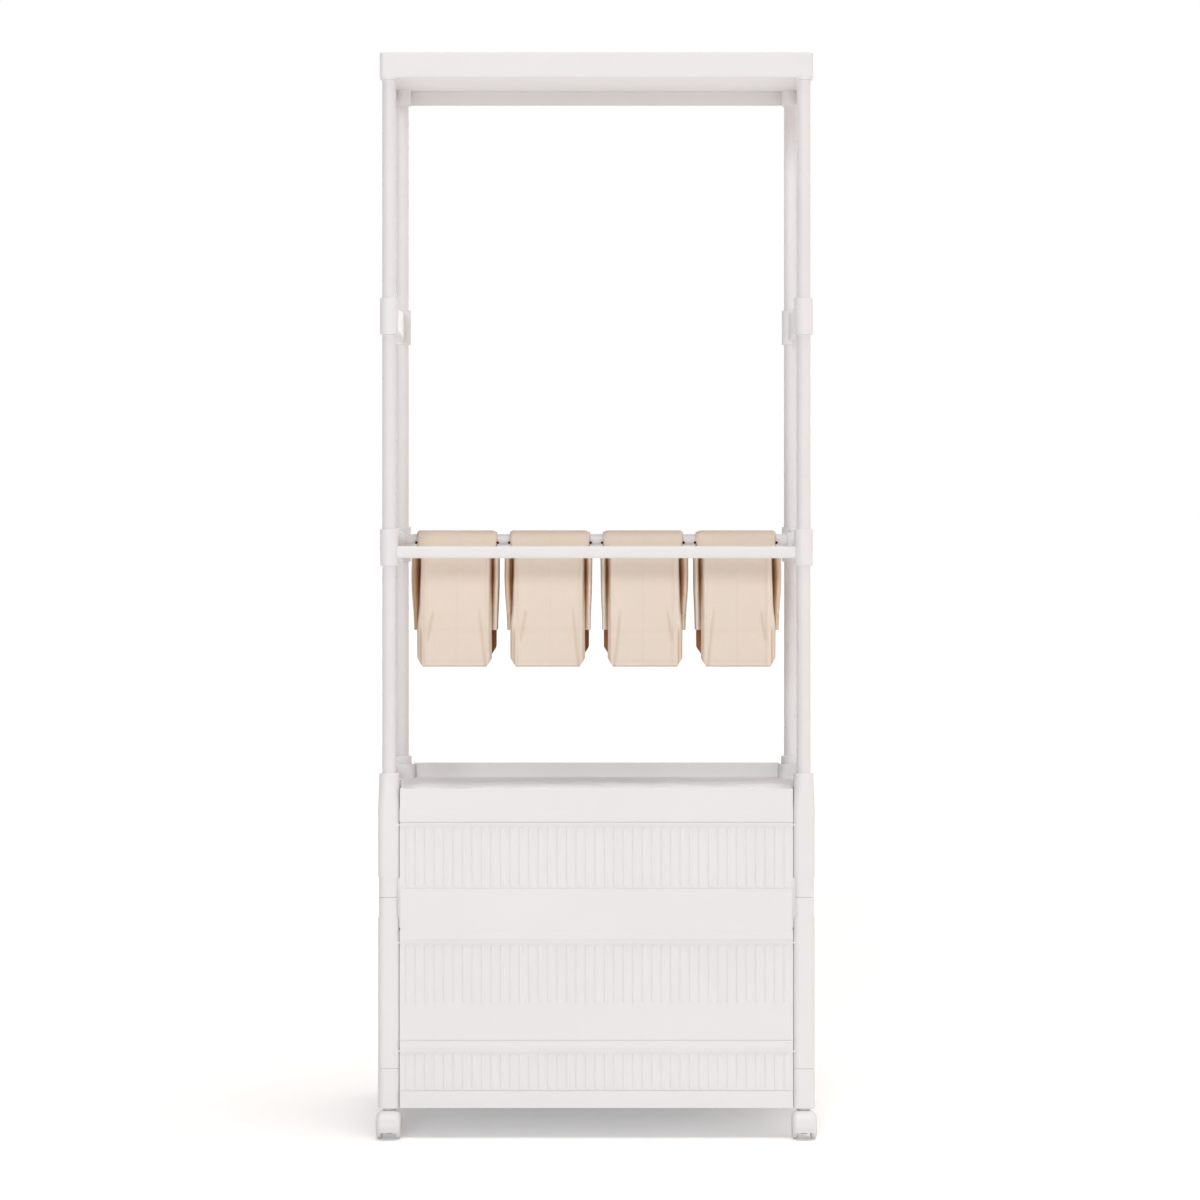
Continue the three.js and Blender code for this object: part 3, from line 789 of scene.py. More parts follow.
def rib_row_tree() -> GeometryTree:
    """A row of upright ribs along X, each half sunk in the panel that carries it.

    Returns:
        The tree, with inputs Count, Pitch, First, Width, Height, Low and High.
    """
    tree = GeometryTree("rib_row")
    count = tree.size("Count", "NodeSocketInt")
    pitch, first, width, height, low, high = (
        tree.size(name) for name in ("Pitch", "First", "Width", "Height", "Low", "High")
    )
    start = tree.node("ShaderNodeCombineXYZ", {"X": first, "Z": low}).outputs[0]
    step = tree.node("ShaderNodeCombineXYZ", {"X": pitch}).outputs[0]
    row = {"Count": count, "Start Location": start, "Offset": step}
    feet = tree.node("GeometryNodeMeshLine", row, mode="OFFSET")
    length = tree.node("ShaderNodeMath", {0: high, 1: low}, operation="SUBTRACT").outputs[0]
    top = tree.node("ShaderNodeCombineXYZ", {"Z": length}).outputs[0]
    line = tree.node("GeometryNodeCurvePrimitiveLine", {"Start": (0, 0, 0), "End": top})
    round_section = tree.node("GeometryNodeCurvePrimitiveCircle", {"Resolution": RIB_FACETS, "Radius": 1.0})
    bar = tree.node(
        "GeometryNodeCurveToMesh",
        {"Curve": line.outputs[0], "Profile Curve": round_section.outputs[0], "Fill Caps": True},
    )
    half_width = tree.node("ShaderNodeMath", {0: width, 1: 0.5}, operation="MULTIPLY").outputs[0]
    section = tree.node("ShaderNodeCombineXYZ", {"X": half_width, "Y": height, "Z": 1.0}).outputs[0]
    rib = tree.node("GeometryNodeTransform", {"Geometry": bar.outputs[0], "Scale": section})
    ribs = tree.node("GeometryNodeInstanceOnPoints", {"Points": feet.outputs[0], "Instance": rib.outputs[0]})
    return tree.end(ribs.outputs["Instances"])


def tube_run_tree() -> GeometryTree:
    """A straight round tube between two points.

    Returns:
        The tree, with inputs Start, End and Radius.
    """
    tree = GeometryTree("tube_run")
    start, end = (tree.size(name, "NodeSocketVector") for name in ("Start", "End"))
    radius = tree.size("Radius")
    line = tree.node("GeometryNodeCurvePrimitiveLine", {"Start": start, "End": end})
    section = tree.node("GeometryNodeCurvePrimitiveCircle", {"Resolution": TUBE_FACETS, "Radius": radius})
    tube = tree.node(
        "GeometryNodeCurveToMesh",
        {"Curve": line.outputs[0], "Profile Curve": section.outputs[0], "Fill Caps": True},
    )
    return tree.end(tube.outputs[0])


def stitch_row_tree() -> GeometryTree:
    """Stitches along a line.

    Returns:
        The tree, with inputs Pitch, Length and Thread.
    """
    tree = GeometryTree("stitch_row")
    pitch, length, thread = (tree.size(name) for name in ("Pitch", "Length", "Thread"))
    line = tree.node("GeometryNodeMeshToCurve", {"Mesh": tree.entry.outputs["Geometry"]})
    spaced = {"Curve": line.outputs[0], "Length": pitch}
    places = tree.node("GeometryNodeResampleCurve", spaced, mode="LENGTH")
    along = tree.node("GeometryNodeInputTangent", {}).outputs[0]
    turn = tree.node("FunctionNodeAlignRotationToVector", {"Vector": along}, axis="X").outputs[0]
    ball = tree.node("GeometryNodeMeshUVSphere", {"Segments": 6, "Rings": 4, "Radius": 1.0})
    shape = tree.node("ShaderNodeCombineXYZ", {"X": length, "Y": thread, "Z": thread}).outputs[0]
    stitch = tree.node("GeometryNodeTransform", {"Geometry": ball.outputs[0], "Scale": shape})
    row = tree.node(
        "GeometryNodeInstanceOnPoints",
        {"Points": places.outputs[0], "Instance": stitch.outputs[0], "Rotation": turn},
    )
    return tree.end(row.outputs["Instances"])


RIB_ROW = rib_row_tree()
TUBE_RUN = tube_run_tree()
STITCH_ROW = stitch_row_tree()


def dress_tube(name: str, node: str, radius: float, start: Sequence[float], end: Sequence[float]) -> None:
    """Make a coated tube on the frame, in place of its node.

    Args:
        name: The piece's name.
        node: The frame node that it stands for.
        radius: The tube's radius.
        start: The middle of one end.
        end: The middle of the other end.
    """
    values = {"Material": MATERIALS["tube"], "Radius": radius, "Start": start, "End": end}
    piece = Workpiece().mesh(TUBE_RUN.run(values)).finish(name, MATERIALS["tube"])
    dress(piece, "frame", Slot.TUBE, node)


@dataclass
class CornerPosts:
    """The cabinet's corner posts, each in three lengths with a round socket at the top."""

    corner_r: float = 10 * MM
    neck_in: float = 1.25 * MM
    neck_len: float = 30 * MM
    neck_taper: float = 3 * MM
    shoulder_rise: float = 19 * MM
    top_r: float = 15.5 * MM
    top_chamfer: float = 1.5 * MM
    socket_depth: float = 30 * MM
    ledge_reach: float = 9 * MM
    ledge_root: float = 2 * MM
    ledge_half: float = 8 * MM
    ledge_shift: float = 6 * MM
    ledge_h: float = 4 * MM
    base_seat: float = 5 * MM
    edge: float = 0.7 * MM

    @property
    def neck_w(self) -> float:
        """The width of a post where its lower and upper lengths meet."""
        return SIZES.post_w - 2 * self.neck_in

    def ring(self, corner: Corner, z: float, width: float, radius: float) -> Ring:
        """One level of a post."""
        return rounded_ring(Vector((corner.x, corner.y, z)), (width / 2, width / 2), radius, PLAN)

    def square(self, corner: Corner, levels: Pairs) -> list[Ring]:
        """A square post's rings, with its first and last edge rounded.

        Args:
            corner: The post's corner.
            levels: Height and width of each level.

        Returns:
            The rings.
        """
        (low, low_w), (high, high_w) = levels[0], levels[-1]
        soft = self.edge
        rings = [self.ring(corner, low, low_w - 2 * soft, self.corner_r - soft)]
        rings.append(self.ring(corner, low + soft, low_w, self.corner_r))
        rings += [self.ring(corner, z, width, self.corner_r) for z, width in levels[1:-1]]
        rings.append(self.ring(corner, high - soft, high_w, self.corner_r))
        rings.append(self.ring(corner, high, high_w - 2 * soft, self.corner_r - soft))
        return rings

    def ledge(self, work: Workpiece, corner: Corner, top: float) -> None:
        """Add the small ledge that carries a frame's corner.

        Args:
            work: The post's workpiece.
            corner: The post's corner.
            top: The ledge's upper face.
        """
        inward = -corner.side.value
        face = corner.x + inward * SIZES.post_w / 2
        middle = corner.y - corner.end.value * self.ledge_shift
        ends = sorted((face - inward * self.ledge_root, face + inward * self.ledge_reach))
        low = (ends[0], middle - self.ledge_half, top - self.ledge_h)
        work.box(low, (ends[1], middle + self.ledge_half, top), self.edge)

    def foot(self, corner: Corner, low: float, high: float) -> Workpiece:
        """The foot, between two heights."""
        work = Workpiece().loft(self.square(corner, [(low, SIZES.post_w), (high, SIZES.post_w)]))
        self.ledge(work, corner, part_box("base_frame")[0].z + self.base_seat - SIZES.seat_gap)
        return work

    def lower(self, corner: Corner, low: float, high: float) -> Workpiece:
        """The lower length, which ends in a slimmer neck.

        Args:
            corner: The post's corner.
            low: Its lower end.
            high: Its upper end.

        Returns:
            The workpiece.
        """
        neck = high - self.neck_len
        post_w, neck_w = SIZES.post_w, self.neck_w
        levels = [(low, post_w), (neck - self.neck_taper, post_w), (neck, neck_w), (high, neck_w)]
        work = Workpiece().loft(self.square(corner, levels))
        for shelf in ("low_shelf", "middle_shelf"):
            self.ledge(work, corner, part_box(shelf)[0].z - SIZES.seat_gap)
        return work

    def upper(self, corner: Corner, low: float, top: float) -> Workpiece:
        """The upper length, which ends in a round socket.

        Args:
            corner: The post's corner.
            low: Its lower end.
            top: Its upper end.

        Returns:
            The workpiece.
        """
        tray_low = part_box("table_tray")[0].z
        neck, chamfer = low + self.neck_len, self.top_chamfer
        levels = [
            (low, self.neck_w - 2 * self.edge, self.corner_r - self.edge),
            (low + self.edge, self.neck_w, self.corner_r),
            (neck, self.neck_w, self.corner_r),
            (neck + self.neck_taper, SIZES.post_w, self.corner_r),
            (tray_low + self.shoulder_rise, SIZES.post_w, self.corner_r),
            (top - chamfer, 2 * self.top_r, self.top_r),
            (top - chamfer / 3, 2 * self.top_r - chamfer, self.top_r - chamfer / 2),
            (top, 2 * (self.top_r - chamfer), self.top_r - chamfer),
            (top, 2 * SIZES.bore_r, SIZES.bore_r),
            (top - self.socket_depth, 2 * SIZES.bore_r, SIZES.bore_r),
        ]
        work = Workpiece().loft([self.ring(corner, *level) for level in levels])
        self.ledge(work, corner, tray_low - SIZES.seat_gap)
        return work

    def build(self) -> None:
        """Make all twelve lengths."""
        gap = SIZES.seat_gap
        for corner in SIZES.corners():
            foot, lower, upper = (f"post_{part}_{corner.tag}" for part in ("foot", "lower", "upper"))
            foot_low, lower_low, upper_low = (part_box(name)[0].z for name in (foot, lower, upper))
            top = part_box(upper)[1].z
            dress_shell(self.foot(corner, foot_low, lower_low - gap), f"{foot}_shell", foot)
            dress_shell(self.lower(corner, lower_low, upper_low - gap), f"{lower}_shell", lower)
            dress_shell(self.upper(corner, upper_low, top), f"{upper}_shell", upper)


@dataclass
class CabinetFrames:
    """The base frame and the two shelves, with softly moulded edges."""

    edge: float = 0.25 * MM
    nodes: tuple[str, ...] = ("base_frame", "low_shelf", "middle_shelf")
    filler_low: tuple[float, float, float] = (303 * MM, -190.6 * MM, 329 * MM)
    filler_high: tuple[float, float, float] = (311 * MM, -187 * MM, 408 * MM)
    filler_edge: float = 0.4 * MM

    def build(self) -> None:
        """Make one piece for each frame, and the strips behind the ends of the fixed front."""
        for name in self.nodes:
            dress_shell(Workpiece().node(name, self.edge), f"{name}_shell", name)
        filler = Workpiece()
        for side in (-1, 1):
            ends = sorted((side * self.filler_low[0], side * self.filler_high[0]))
            filler.box((ends[0], *self.filler_low[1:]), (ends[1], *self.filler_high[1:]), self.filler_edge)
        dress_shell(filler, "bin_front_stops")


@dataclass
class TableTray:
    """The tray on the cabinet: a floor in a rim that wraps the posts and is lower in front."""

    notch: tuple[float, float] = (307.9 * MM, 162.9 * MM)
    notch_r: float = 9 * MM
    corner_r: float = 0.5 * MM
    least_r: float = 0.3 * MM
    rim_t: float = 3.5 * MM
    step: float = 0.5 * MM
    band: float = 21 * MM
    band_round: float = 0.6 * MM
    floor_low: float = 36 * MM
    floor_t: float = 3 * MM
    front_h: float = 52.5 * MM
    soft: float = 1.3 * MM
    soft_share: float = 0.3
    foot_round: float = 1 * MM
    foot_soft: float = 0.3 * MM
    lip_round: float = 0.6 * MM
    turns: int = 7

    def outline(self, inset: float) -> list[tuple[float, float]]:
        """The tray in plan, drawn in by an inset, with its corners rounded.

        Args:
            inset: How far inside the outer face it lies.

        Returns:
            The points, once round.
        """
        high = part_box("table_tray")[1]
        ex, ey = high.x - inset, high.y - inset
        ix, iy = self.notch[0] - inset, self.notch[1] - inset
        plan = [
            (-ix, -ey), (ix, -ey), (ix, -iy), (ex, -iy), (ex, iy), (ix, iy),
            (ix, ey), (-ix, ey), (-ix, iy), (-ex, iy), (-ex, -iy), (-ix, -iy),
        ]
        points = []
        for k, (x, y) in enumerate(plan):
            corner = Vector((x, y))
            before = (Vector(plan[k - 1]) - corner).normalized()
            after = (Vector(plan[(k + 1) % len(plan)]) - corner).normalized()
            concave = abs(x) == ix and abs(y) == iy
            radius = self.notch_r + inset if concave else max(self.least_r, self.corner_r - inset)
            for i in range(self.turns):
                angle = math.pi / 2 * i / (self.turns - 1)
                bend = after * radius * math.cos(angle)
                point = corner + (before + after) * radius - bend - before * radius * math.sin(angle)
                points.append((point.x, point.y))
        return points

    def ring(self, inset: float, z: float, from_rim: bool = False) -> Ring:
        """One level of the tray.

        Args:
            inset: How far inside the outer face it lies.
            z: Its height, above the floor or above the rim's top.
            from_rim: Whether the height counts from the rim's top.

        Returns:
            The ring.
        """
        low, high = (v.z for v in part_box("table_tray"))
        front = -self.notch[1] - self.rim_t

        def height(y: float) -> float:
            """The ring's height at a depth, as the rim is lower in front."""
            if not from_rim:
                return z
            return z + (low + self.front_h if y < front else high)

        return [Vector((x, y, height(y))) for x, y in self.outline(inset)]

    def build(self) -> None:
        """Make the tray as one skin, from its floor over the rim to its underside."""
        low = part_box("table_tray")[0].z
        soft, wall, step = self.soft, self.rim_t, self.step
        edge = self.soft_share * soft
        over_rim = [
            (wall, -soft), (wall - edge, -edge), (wall - soft, 0),
            (step + soft, 0), (step + edge, -edge), (step, -soft),
        ]
        outside_and_under = [
            (step, self.band), (self.soft_share * step, self.band), (0, self.band - self.band_round),
            (0, self.foot_round), (self.foot_soft, self.foot_soft), (self.foot_round, 0),
            (wall - self.lip_round, 0), (wall, self.lip_round), (wall, self.floor_low),
        ]
        rings = [self.ring(wall, low + self.floor_low + self.floor_t)]
        rings += [self.ring(inset, z, True) for inset, z in over_rim]
        rings += [self.ring(inset, low + z) for inset, z in outside_and_under]
        dress_shell(Workpiece().loft(rings), "table_tray_shell", "table_tray")


@dataclass
class RibbedPanels:
    """What the flip-up fronts and the side walls share: a panel with a row of upright ribs."""

    pitch: float = 14.8 * MM
    rib_w: float = 6 * MM
    rib_h: float = 1.6 * MM
    margin: float = 3 * MM
    edge: float = 0.15 * MM

    def ribs(self, half_length: float, low: float, high: float, place: Matrix) -> bpy.types.Mesh:
        """A row of ribs centred on a panel.

        Args:
            half_length: Half the panel's length.
            low: The ribs' lower end.
            high: Their upper end.
            place: From the row's own frame, along +X with its crests at -Y, to the stand's.

        Returns:
            The ribs' mesh.
        """
        count = int((2 * (half_length - self.margin) - self.rib_w) // self.pitch) + 1
        mesh = RIB_ROW.run({
            "Material": MATERIALS["shell"], "Count": count, "Pitch": self.pitch,
            "First": -(count - 1) * self.pitch / 2, "Width": self.rib_w, "Height": self.rib_h,
            "Low": low, "High": high,
        })
        mesh.transform(place)
        return mesh


@dataclass
class FlipFronts(RibbedPanels):
    """The three fronts that flip up on pins at their upper edge."""

    pin_len: float = 5 * MM
    pin_r: float = 1.4 * MM
    pin_facets: int = 16
    hinge_drop: float = 4 * MM
    hinge_room: float = 5.2 * MM
    top_margin: float = 8 * MM
    plain_band: float = 55 * MM
    panel_t: float = 3 * MM
    swell: float = 0.45 * MM
    spread: float = 0.8 * MM
    sag: float = 0.93 * MM
    side_gap: float = 1 * MM
    stop_clear: float = 1.1 * MM
    stop_t: float = 2 * MM
    stop_w: float = 7 * MM
    stop_past: float = 1.4 * MM
    stop_root: float = 0.5 * MM
    stop_lap: float = 1 * MM
    stop_edge: float = 0.4 * MM
    top_stop_in: float = 2 * MM

    def stops(self, name: str) -> None:
        """Make the thin strips that a front rests against, on the posts and on the frames.

        Args:
            name: The front.
        """
        low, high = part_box(name)
        face = high.x - self.pin_len + self.side_gap
        near, axis = high.y + self.stop_clear, high.z - self.hinge_drop
        low_z, side_top = low.z - self.stop_past, axis - self.hinge_room
        edge = self.stop_edge
        work = Workpiece()
        for side in (-1, 1):
            ends = sorted((side * (face + self.stop_root), side * (face - self.stop_w)))
            work.box((ends[0], near, low_z), (ends[1], near + self.stop_t, side_top), edge)
        inner = face - self.stop_w + self.stop_lap
        work.box((-inner, near, low_z), (inner, near + self.stop_t, low.z + self.stop_w), edge)
        back = (high.y - self.panel_t / 2) + self.hinge_room
        reach = face - self.top_stop_in
        work.box((-reach, back, side_top), (reach, back + self.stop_t, high.z + self.stop_past), edge)
        dress_shell(work, f"{name}_stops")

    def build(self) -> None:
        """Make each front with its ribs, pins and stops."""
        for name, plain in (("upper_front", 0.0), ("middle_front", self.plain_band), ("lower_front", 0.0)):
            low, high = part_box(name)
            half = high.x - self.pin_len
            face = low.y + self.rib_h
            wide = half + self.spread
            upper = (wide, high.y, high.z + self.swell)
            work = Workpiece().box((-wide, face, low.z - self.sag), upper, self.edge)
            self.stops(name)
            rib_low = low.z + plain + self.margin
            work.mesh(self.ribs(half, rib_low, high.z - self.top_margin, Matrix.Translation((0, face, 0))))
            axis_y = (face + high.y) / 2
            pin = [(0, -high.x), (self.pin_r, -high.x), (self.pin_r, high.x), (0, high.x)]
            work.lathe(pin, across_at(0, axis_y, high.z - self.hinge_drop), steps=self.pin_facets)
            dress_shell(work, f"{name}_panel", name, body=name)


@dataclass
class WallPanels(RibbedPanels):
    """The ribbed side walls and the plain back walls of the compartments."""

    wall_t: float = 2.5 * MM
    rib_margin: float = 6 * MM

    def build(self) -> None:
        """Make the walls of each compartment."""
        for level in ("upper", "middle", "lower"):
            for side in Side:
                name = f"side_wall_{level}_{side.name.lower()}"
                low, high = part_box(name)
                half = high.y
                inner = high.x if side is Side.LEFT else low.x
                outer = inner + side.value * self.wall_t
                ends = sorted((inner, outer))
                work = Workpiece().box((ends[0], -half, low.z), (ends[1], half, high.z), self.edge)
                turn = Matrix.Translation((outer, 0, 0)) @ Matrix.Rotation(side.value * math.pi / 2, 4, "Z")
                work.mesh(self.ribs(half, low.z + self.rib_margin, high.z - self.rib_margin, turn))
                dress_shell(work, f"{name}_panel", name)
            name = f"back_wall_{level}"
            dress_shell(Workpiece().node(name, self.edge), f"{name}_panel", name)


@dataclass
class Uprights:
    """The round uprights, three lengths on each corner."""

    levels: tuple[str, ...] = ("lower", "middle", "upper")

    def build(self) -> None:
        """Make all twelve tubes."""
        for corner in SIZES.corners():
            for level in self.levels:
                name = f"upright_{level}_{corner.tag}"
                low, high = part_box(name)
                start, end = ((corner.x, corner.y, z) for z in (low.z, high.z))
                dress_tube(f"{name}_tube", name, SIZES.tube_r, start, end)


@dataclass
class HangingRack:
    """The side braces with their collars, the rails between them and the bar for the bags."""

    collar_r: float = 14.5 * MM
    collar_round: float = 1.6 * MM
    collar_facets: int = 48
    soft_share: float = 0.3
    arm_t: float = 8 * MM
    arm_end: float = 25 * MM
    arm_low: float = 15 * MM
    arm_high: float = 23 * MM
    arm_round: float = 2.6 * MM
    arm_steps: int = 5
    arm_stations: int = 33
    bar_rise: float = 10.5 * MM
    bar_r: float = 8.5 * MM
    boss_wall: float = 3 * MM
    boss_len: float = 12 * MM
    boss_lap: float = 1 * MM
    boss_round: float = 1 * MM
    boss_facets: int = 40
    rail_round: float = 5 * MM
    rail_seat: float = 2.5 * MM
    rail_stations: int = 25

    def collar(self, work: Workpiece, x: float, y: float, low: float, high: float) -> None:
        """Add a collar with rounded rims and its bore.

        Args:
            work: The brace's workpiece.
            x: The collar's place.
            y: The collar's place.
            low: Its lower rim.
            high: Its upper rim.
        """
        outer, bore, soft = self.collar_r, SIZES.bore_r, self.collar_round
        edge = soft * self.soft_share
        profile = [(bore, low), (outer - soft, low), (outer - edge, low + edge), (outer, low + soft)]
        profile += [(outer, high - soft), (outer - edge, high - edge), (outer - soft, high), (bore, high)]
        work.lathe(profile, upright_at(x, y), steps=self.collar_facets, ring=True)

    def web(self, work: Workpiece, x: float, middle: float) -> None:
        """Add the waisted web between a front and a rear collar.

        Args:
            work: The brace's workpiece.
            x: The web's middle plane.
            middle: The height of the collars' middle.
        """
        reach = SIZES.span_y / 2 - SIZES.tube_r
        rings = []
        for i in range(self.arm_stations):
            y = -reach + 2 * reach * i / (self.arm_stations - 1)
            waist = 1 - (y / (SIZES.span_y / 2)) ** 2
            low = middle - self.arm_end + (self.arm_end - self.arm_low) * waist
            high = middle + self.arm_end - (self.arm_end - self.arm_high) * waist
            centre, half = Vector((x, y, (low + high) / 2)), (self.arm_t / 2, (high - low) / 2)
            rings.append(rounded_ring(centre, half, self.arm_round, (AXIS_X, AXIS_Z), self.arm_steps))
        work.loft(rings)

    def boss(self, work: Workpiece, side: Side, x: float, middle: float) -> None:
        """Add the round boss that holds the bar.

        Args:
            work: The brace's workpiece.
            side: The brace's side.
            x: The web's middle plane.
            middle: The height of the collars' middle.
        """
        bore, soft = self.bar_r + SIZES.seat_gap, self.boss_round
        outer = bore + self.boss_wall
        face, mouth = self.arm_t / 2 - self.boss_lap, self.arm_t / 2 + self.boss_len
        profile = [(bore, face), (outer, face), (outer, mouth - soft), (outer - soft, mouth), (bore, mouth)]
        inward = Matrix.Rotation(math.pi * (side is Side.RIGHT), 4, "X")
        place = across_at(x, 0, middle + self.bar_rise) @ inward
        work.lathe(profile, place, steps=self.boss_facets, ring=True)

    def braces(self) -> None:
        """Make the four side braces."""
        for level, holds_bar in (("middle", True), ("high", False)):
            for side in Side:
                name = f"side_brace_{level}_{side.name.lower()}"
                low, high = (v.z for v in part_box(name))
                x = side.value * SIZES.span_x / 2
                middle = (low + high) / 2
                work = Workpiece()
                for end in End:
                    self.collar(work, x, end.value * SIZES.span_y / 2, low, high)
                self.web(work, x, middle)
                if holds_bar:
                    self.boss(work, side, x, middle)
                dress_shell(work, f"{name}_shell", name)

    def rails(self) -> None:
        """Make the front and the rear rail."""
        for end in End:
            name = f"{end.name.lower()}_rail"
            low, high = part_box(name)
            reach = SIZES.span_x / 2 - self.collar_r + self.rail_seat
            half = ((high.y - low.y) / 2, (high.z - low.z) / 2)
            rings = []
            for i in range(self.rail_stations):
                x = -reach + 2 * reach * i / (self.rail_stations - 1)
                middle = Vector((x, (low.y + high.y) / 2, (low.z + high.z) / 2))
                rings.append(rounded_ring(middle, half, self.rail_round, (AXIS_Y, AXIS_Z)))
            dress_shell(Workpiece().loft(rings), f"{name}_shell", name)

    def bar(self) -> None:
        """Make the bar that the bags hang over."""
        low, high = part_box("bag_bar")
        z = (low.z + high.z) / 2
        dress_tube("bag_bar_tube", "bag_bar", self.bar_r, (low.x, 0, z), (high.x, 0, z))

    def build(self) -> None:
        """Make the whole rack."""
        self.braces()
        self.rails()
        self.bar()


@dataclass
class TopShelf:
    """The shelf on top: an upturned pan with rounded edges and a socket in each corner."""

    corner_r: float = 8 * MM
    rim_t: float = 3.5 * MM
    skin: float = 16.5 * MM
    top_round: float = 2.4 * MM
    lip_round: float = 0.7 * MM
    lip_fillet: float = 2.6 * MM
    lip_h: float = 40 * MM
    socket_r: float = 14.5 * MM
    socket_round: float = 0.8 * MM
    socket_facets: int = 48
    least_r: float = 1 * MM
    corner_steps: int = 9
    edge_steps: int = 5

    def build(self) -> None:
        """Make the shelf."""
        low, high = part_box("top_shelf")
        lip_low, top = high.z - self.lip_h, high.z
        under = top - self.skin

        def ring(inset: float, z: float) -> Ring:
            """The shelf's outline drawn in by an inset."""
            half, radius = (high.x - inset, high.y - inset), max(self.corner_r - inset, self.least_r)
            return rounded_ring(Vector((0, 0, z)), half, radius, PLAN, self.corner_steps)

        rings = [ring(self.rim_t, under), ring(self.rim_t, lip_low + self.lip_round)]
        rings.append(ring(self.rim_t - self.lip_round, lip_low))
        angles = [math.pi / 2 * i / self.edge_steps for i in range(self.edge_steps + 1)]
        for angle in angles:
            rise = self.lip_fillet * (1 - math.cos(angle))
            rings.append(ring(self.lip_fillet * (1 - math.sin(angle)), lip_low + rise))
        for angle in angles:
            inset = self.top_round * (1 - math.cos(angle))
            rings.append(ring(inset, top - self.top_round + self.top_round * math.sin(angle)))
        work = Workpiece().loft(rings)
        profile = [
            (SIZES.bore_r, low.z), (self.socket_r - self.socket_round, low.z),
            (self.socket_r, low.z + self.socket_round), (self.socket_r, under), (SIZES.bore_r, under),
        ]
        for corner in SIZES.corners():
            work.lathe(profile, upright_at(corner.x, corner.y), steps=self.socket_facets, ring=True)
        dress_shell(work, "top_shelf_shell", "top_shelf")


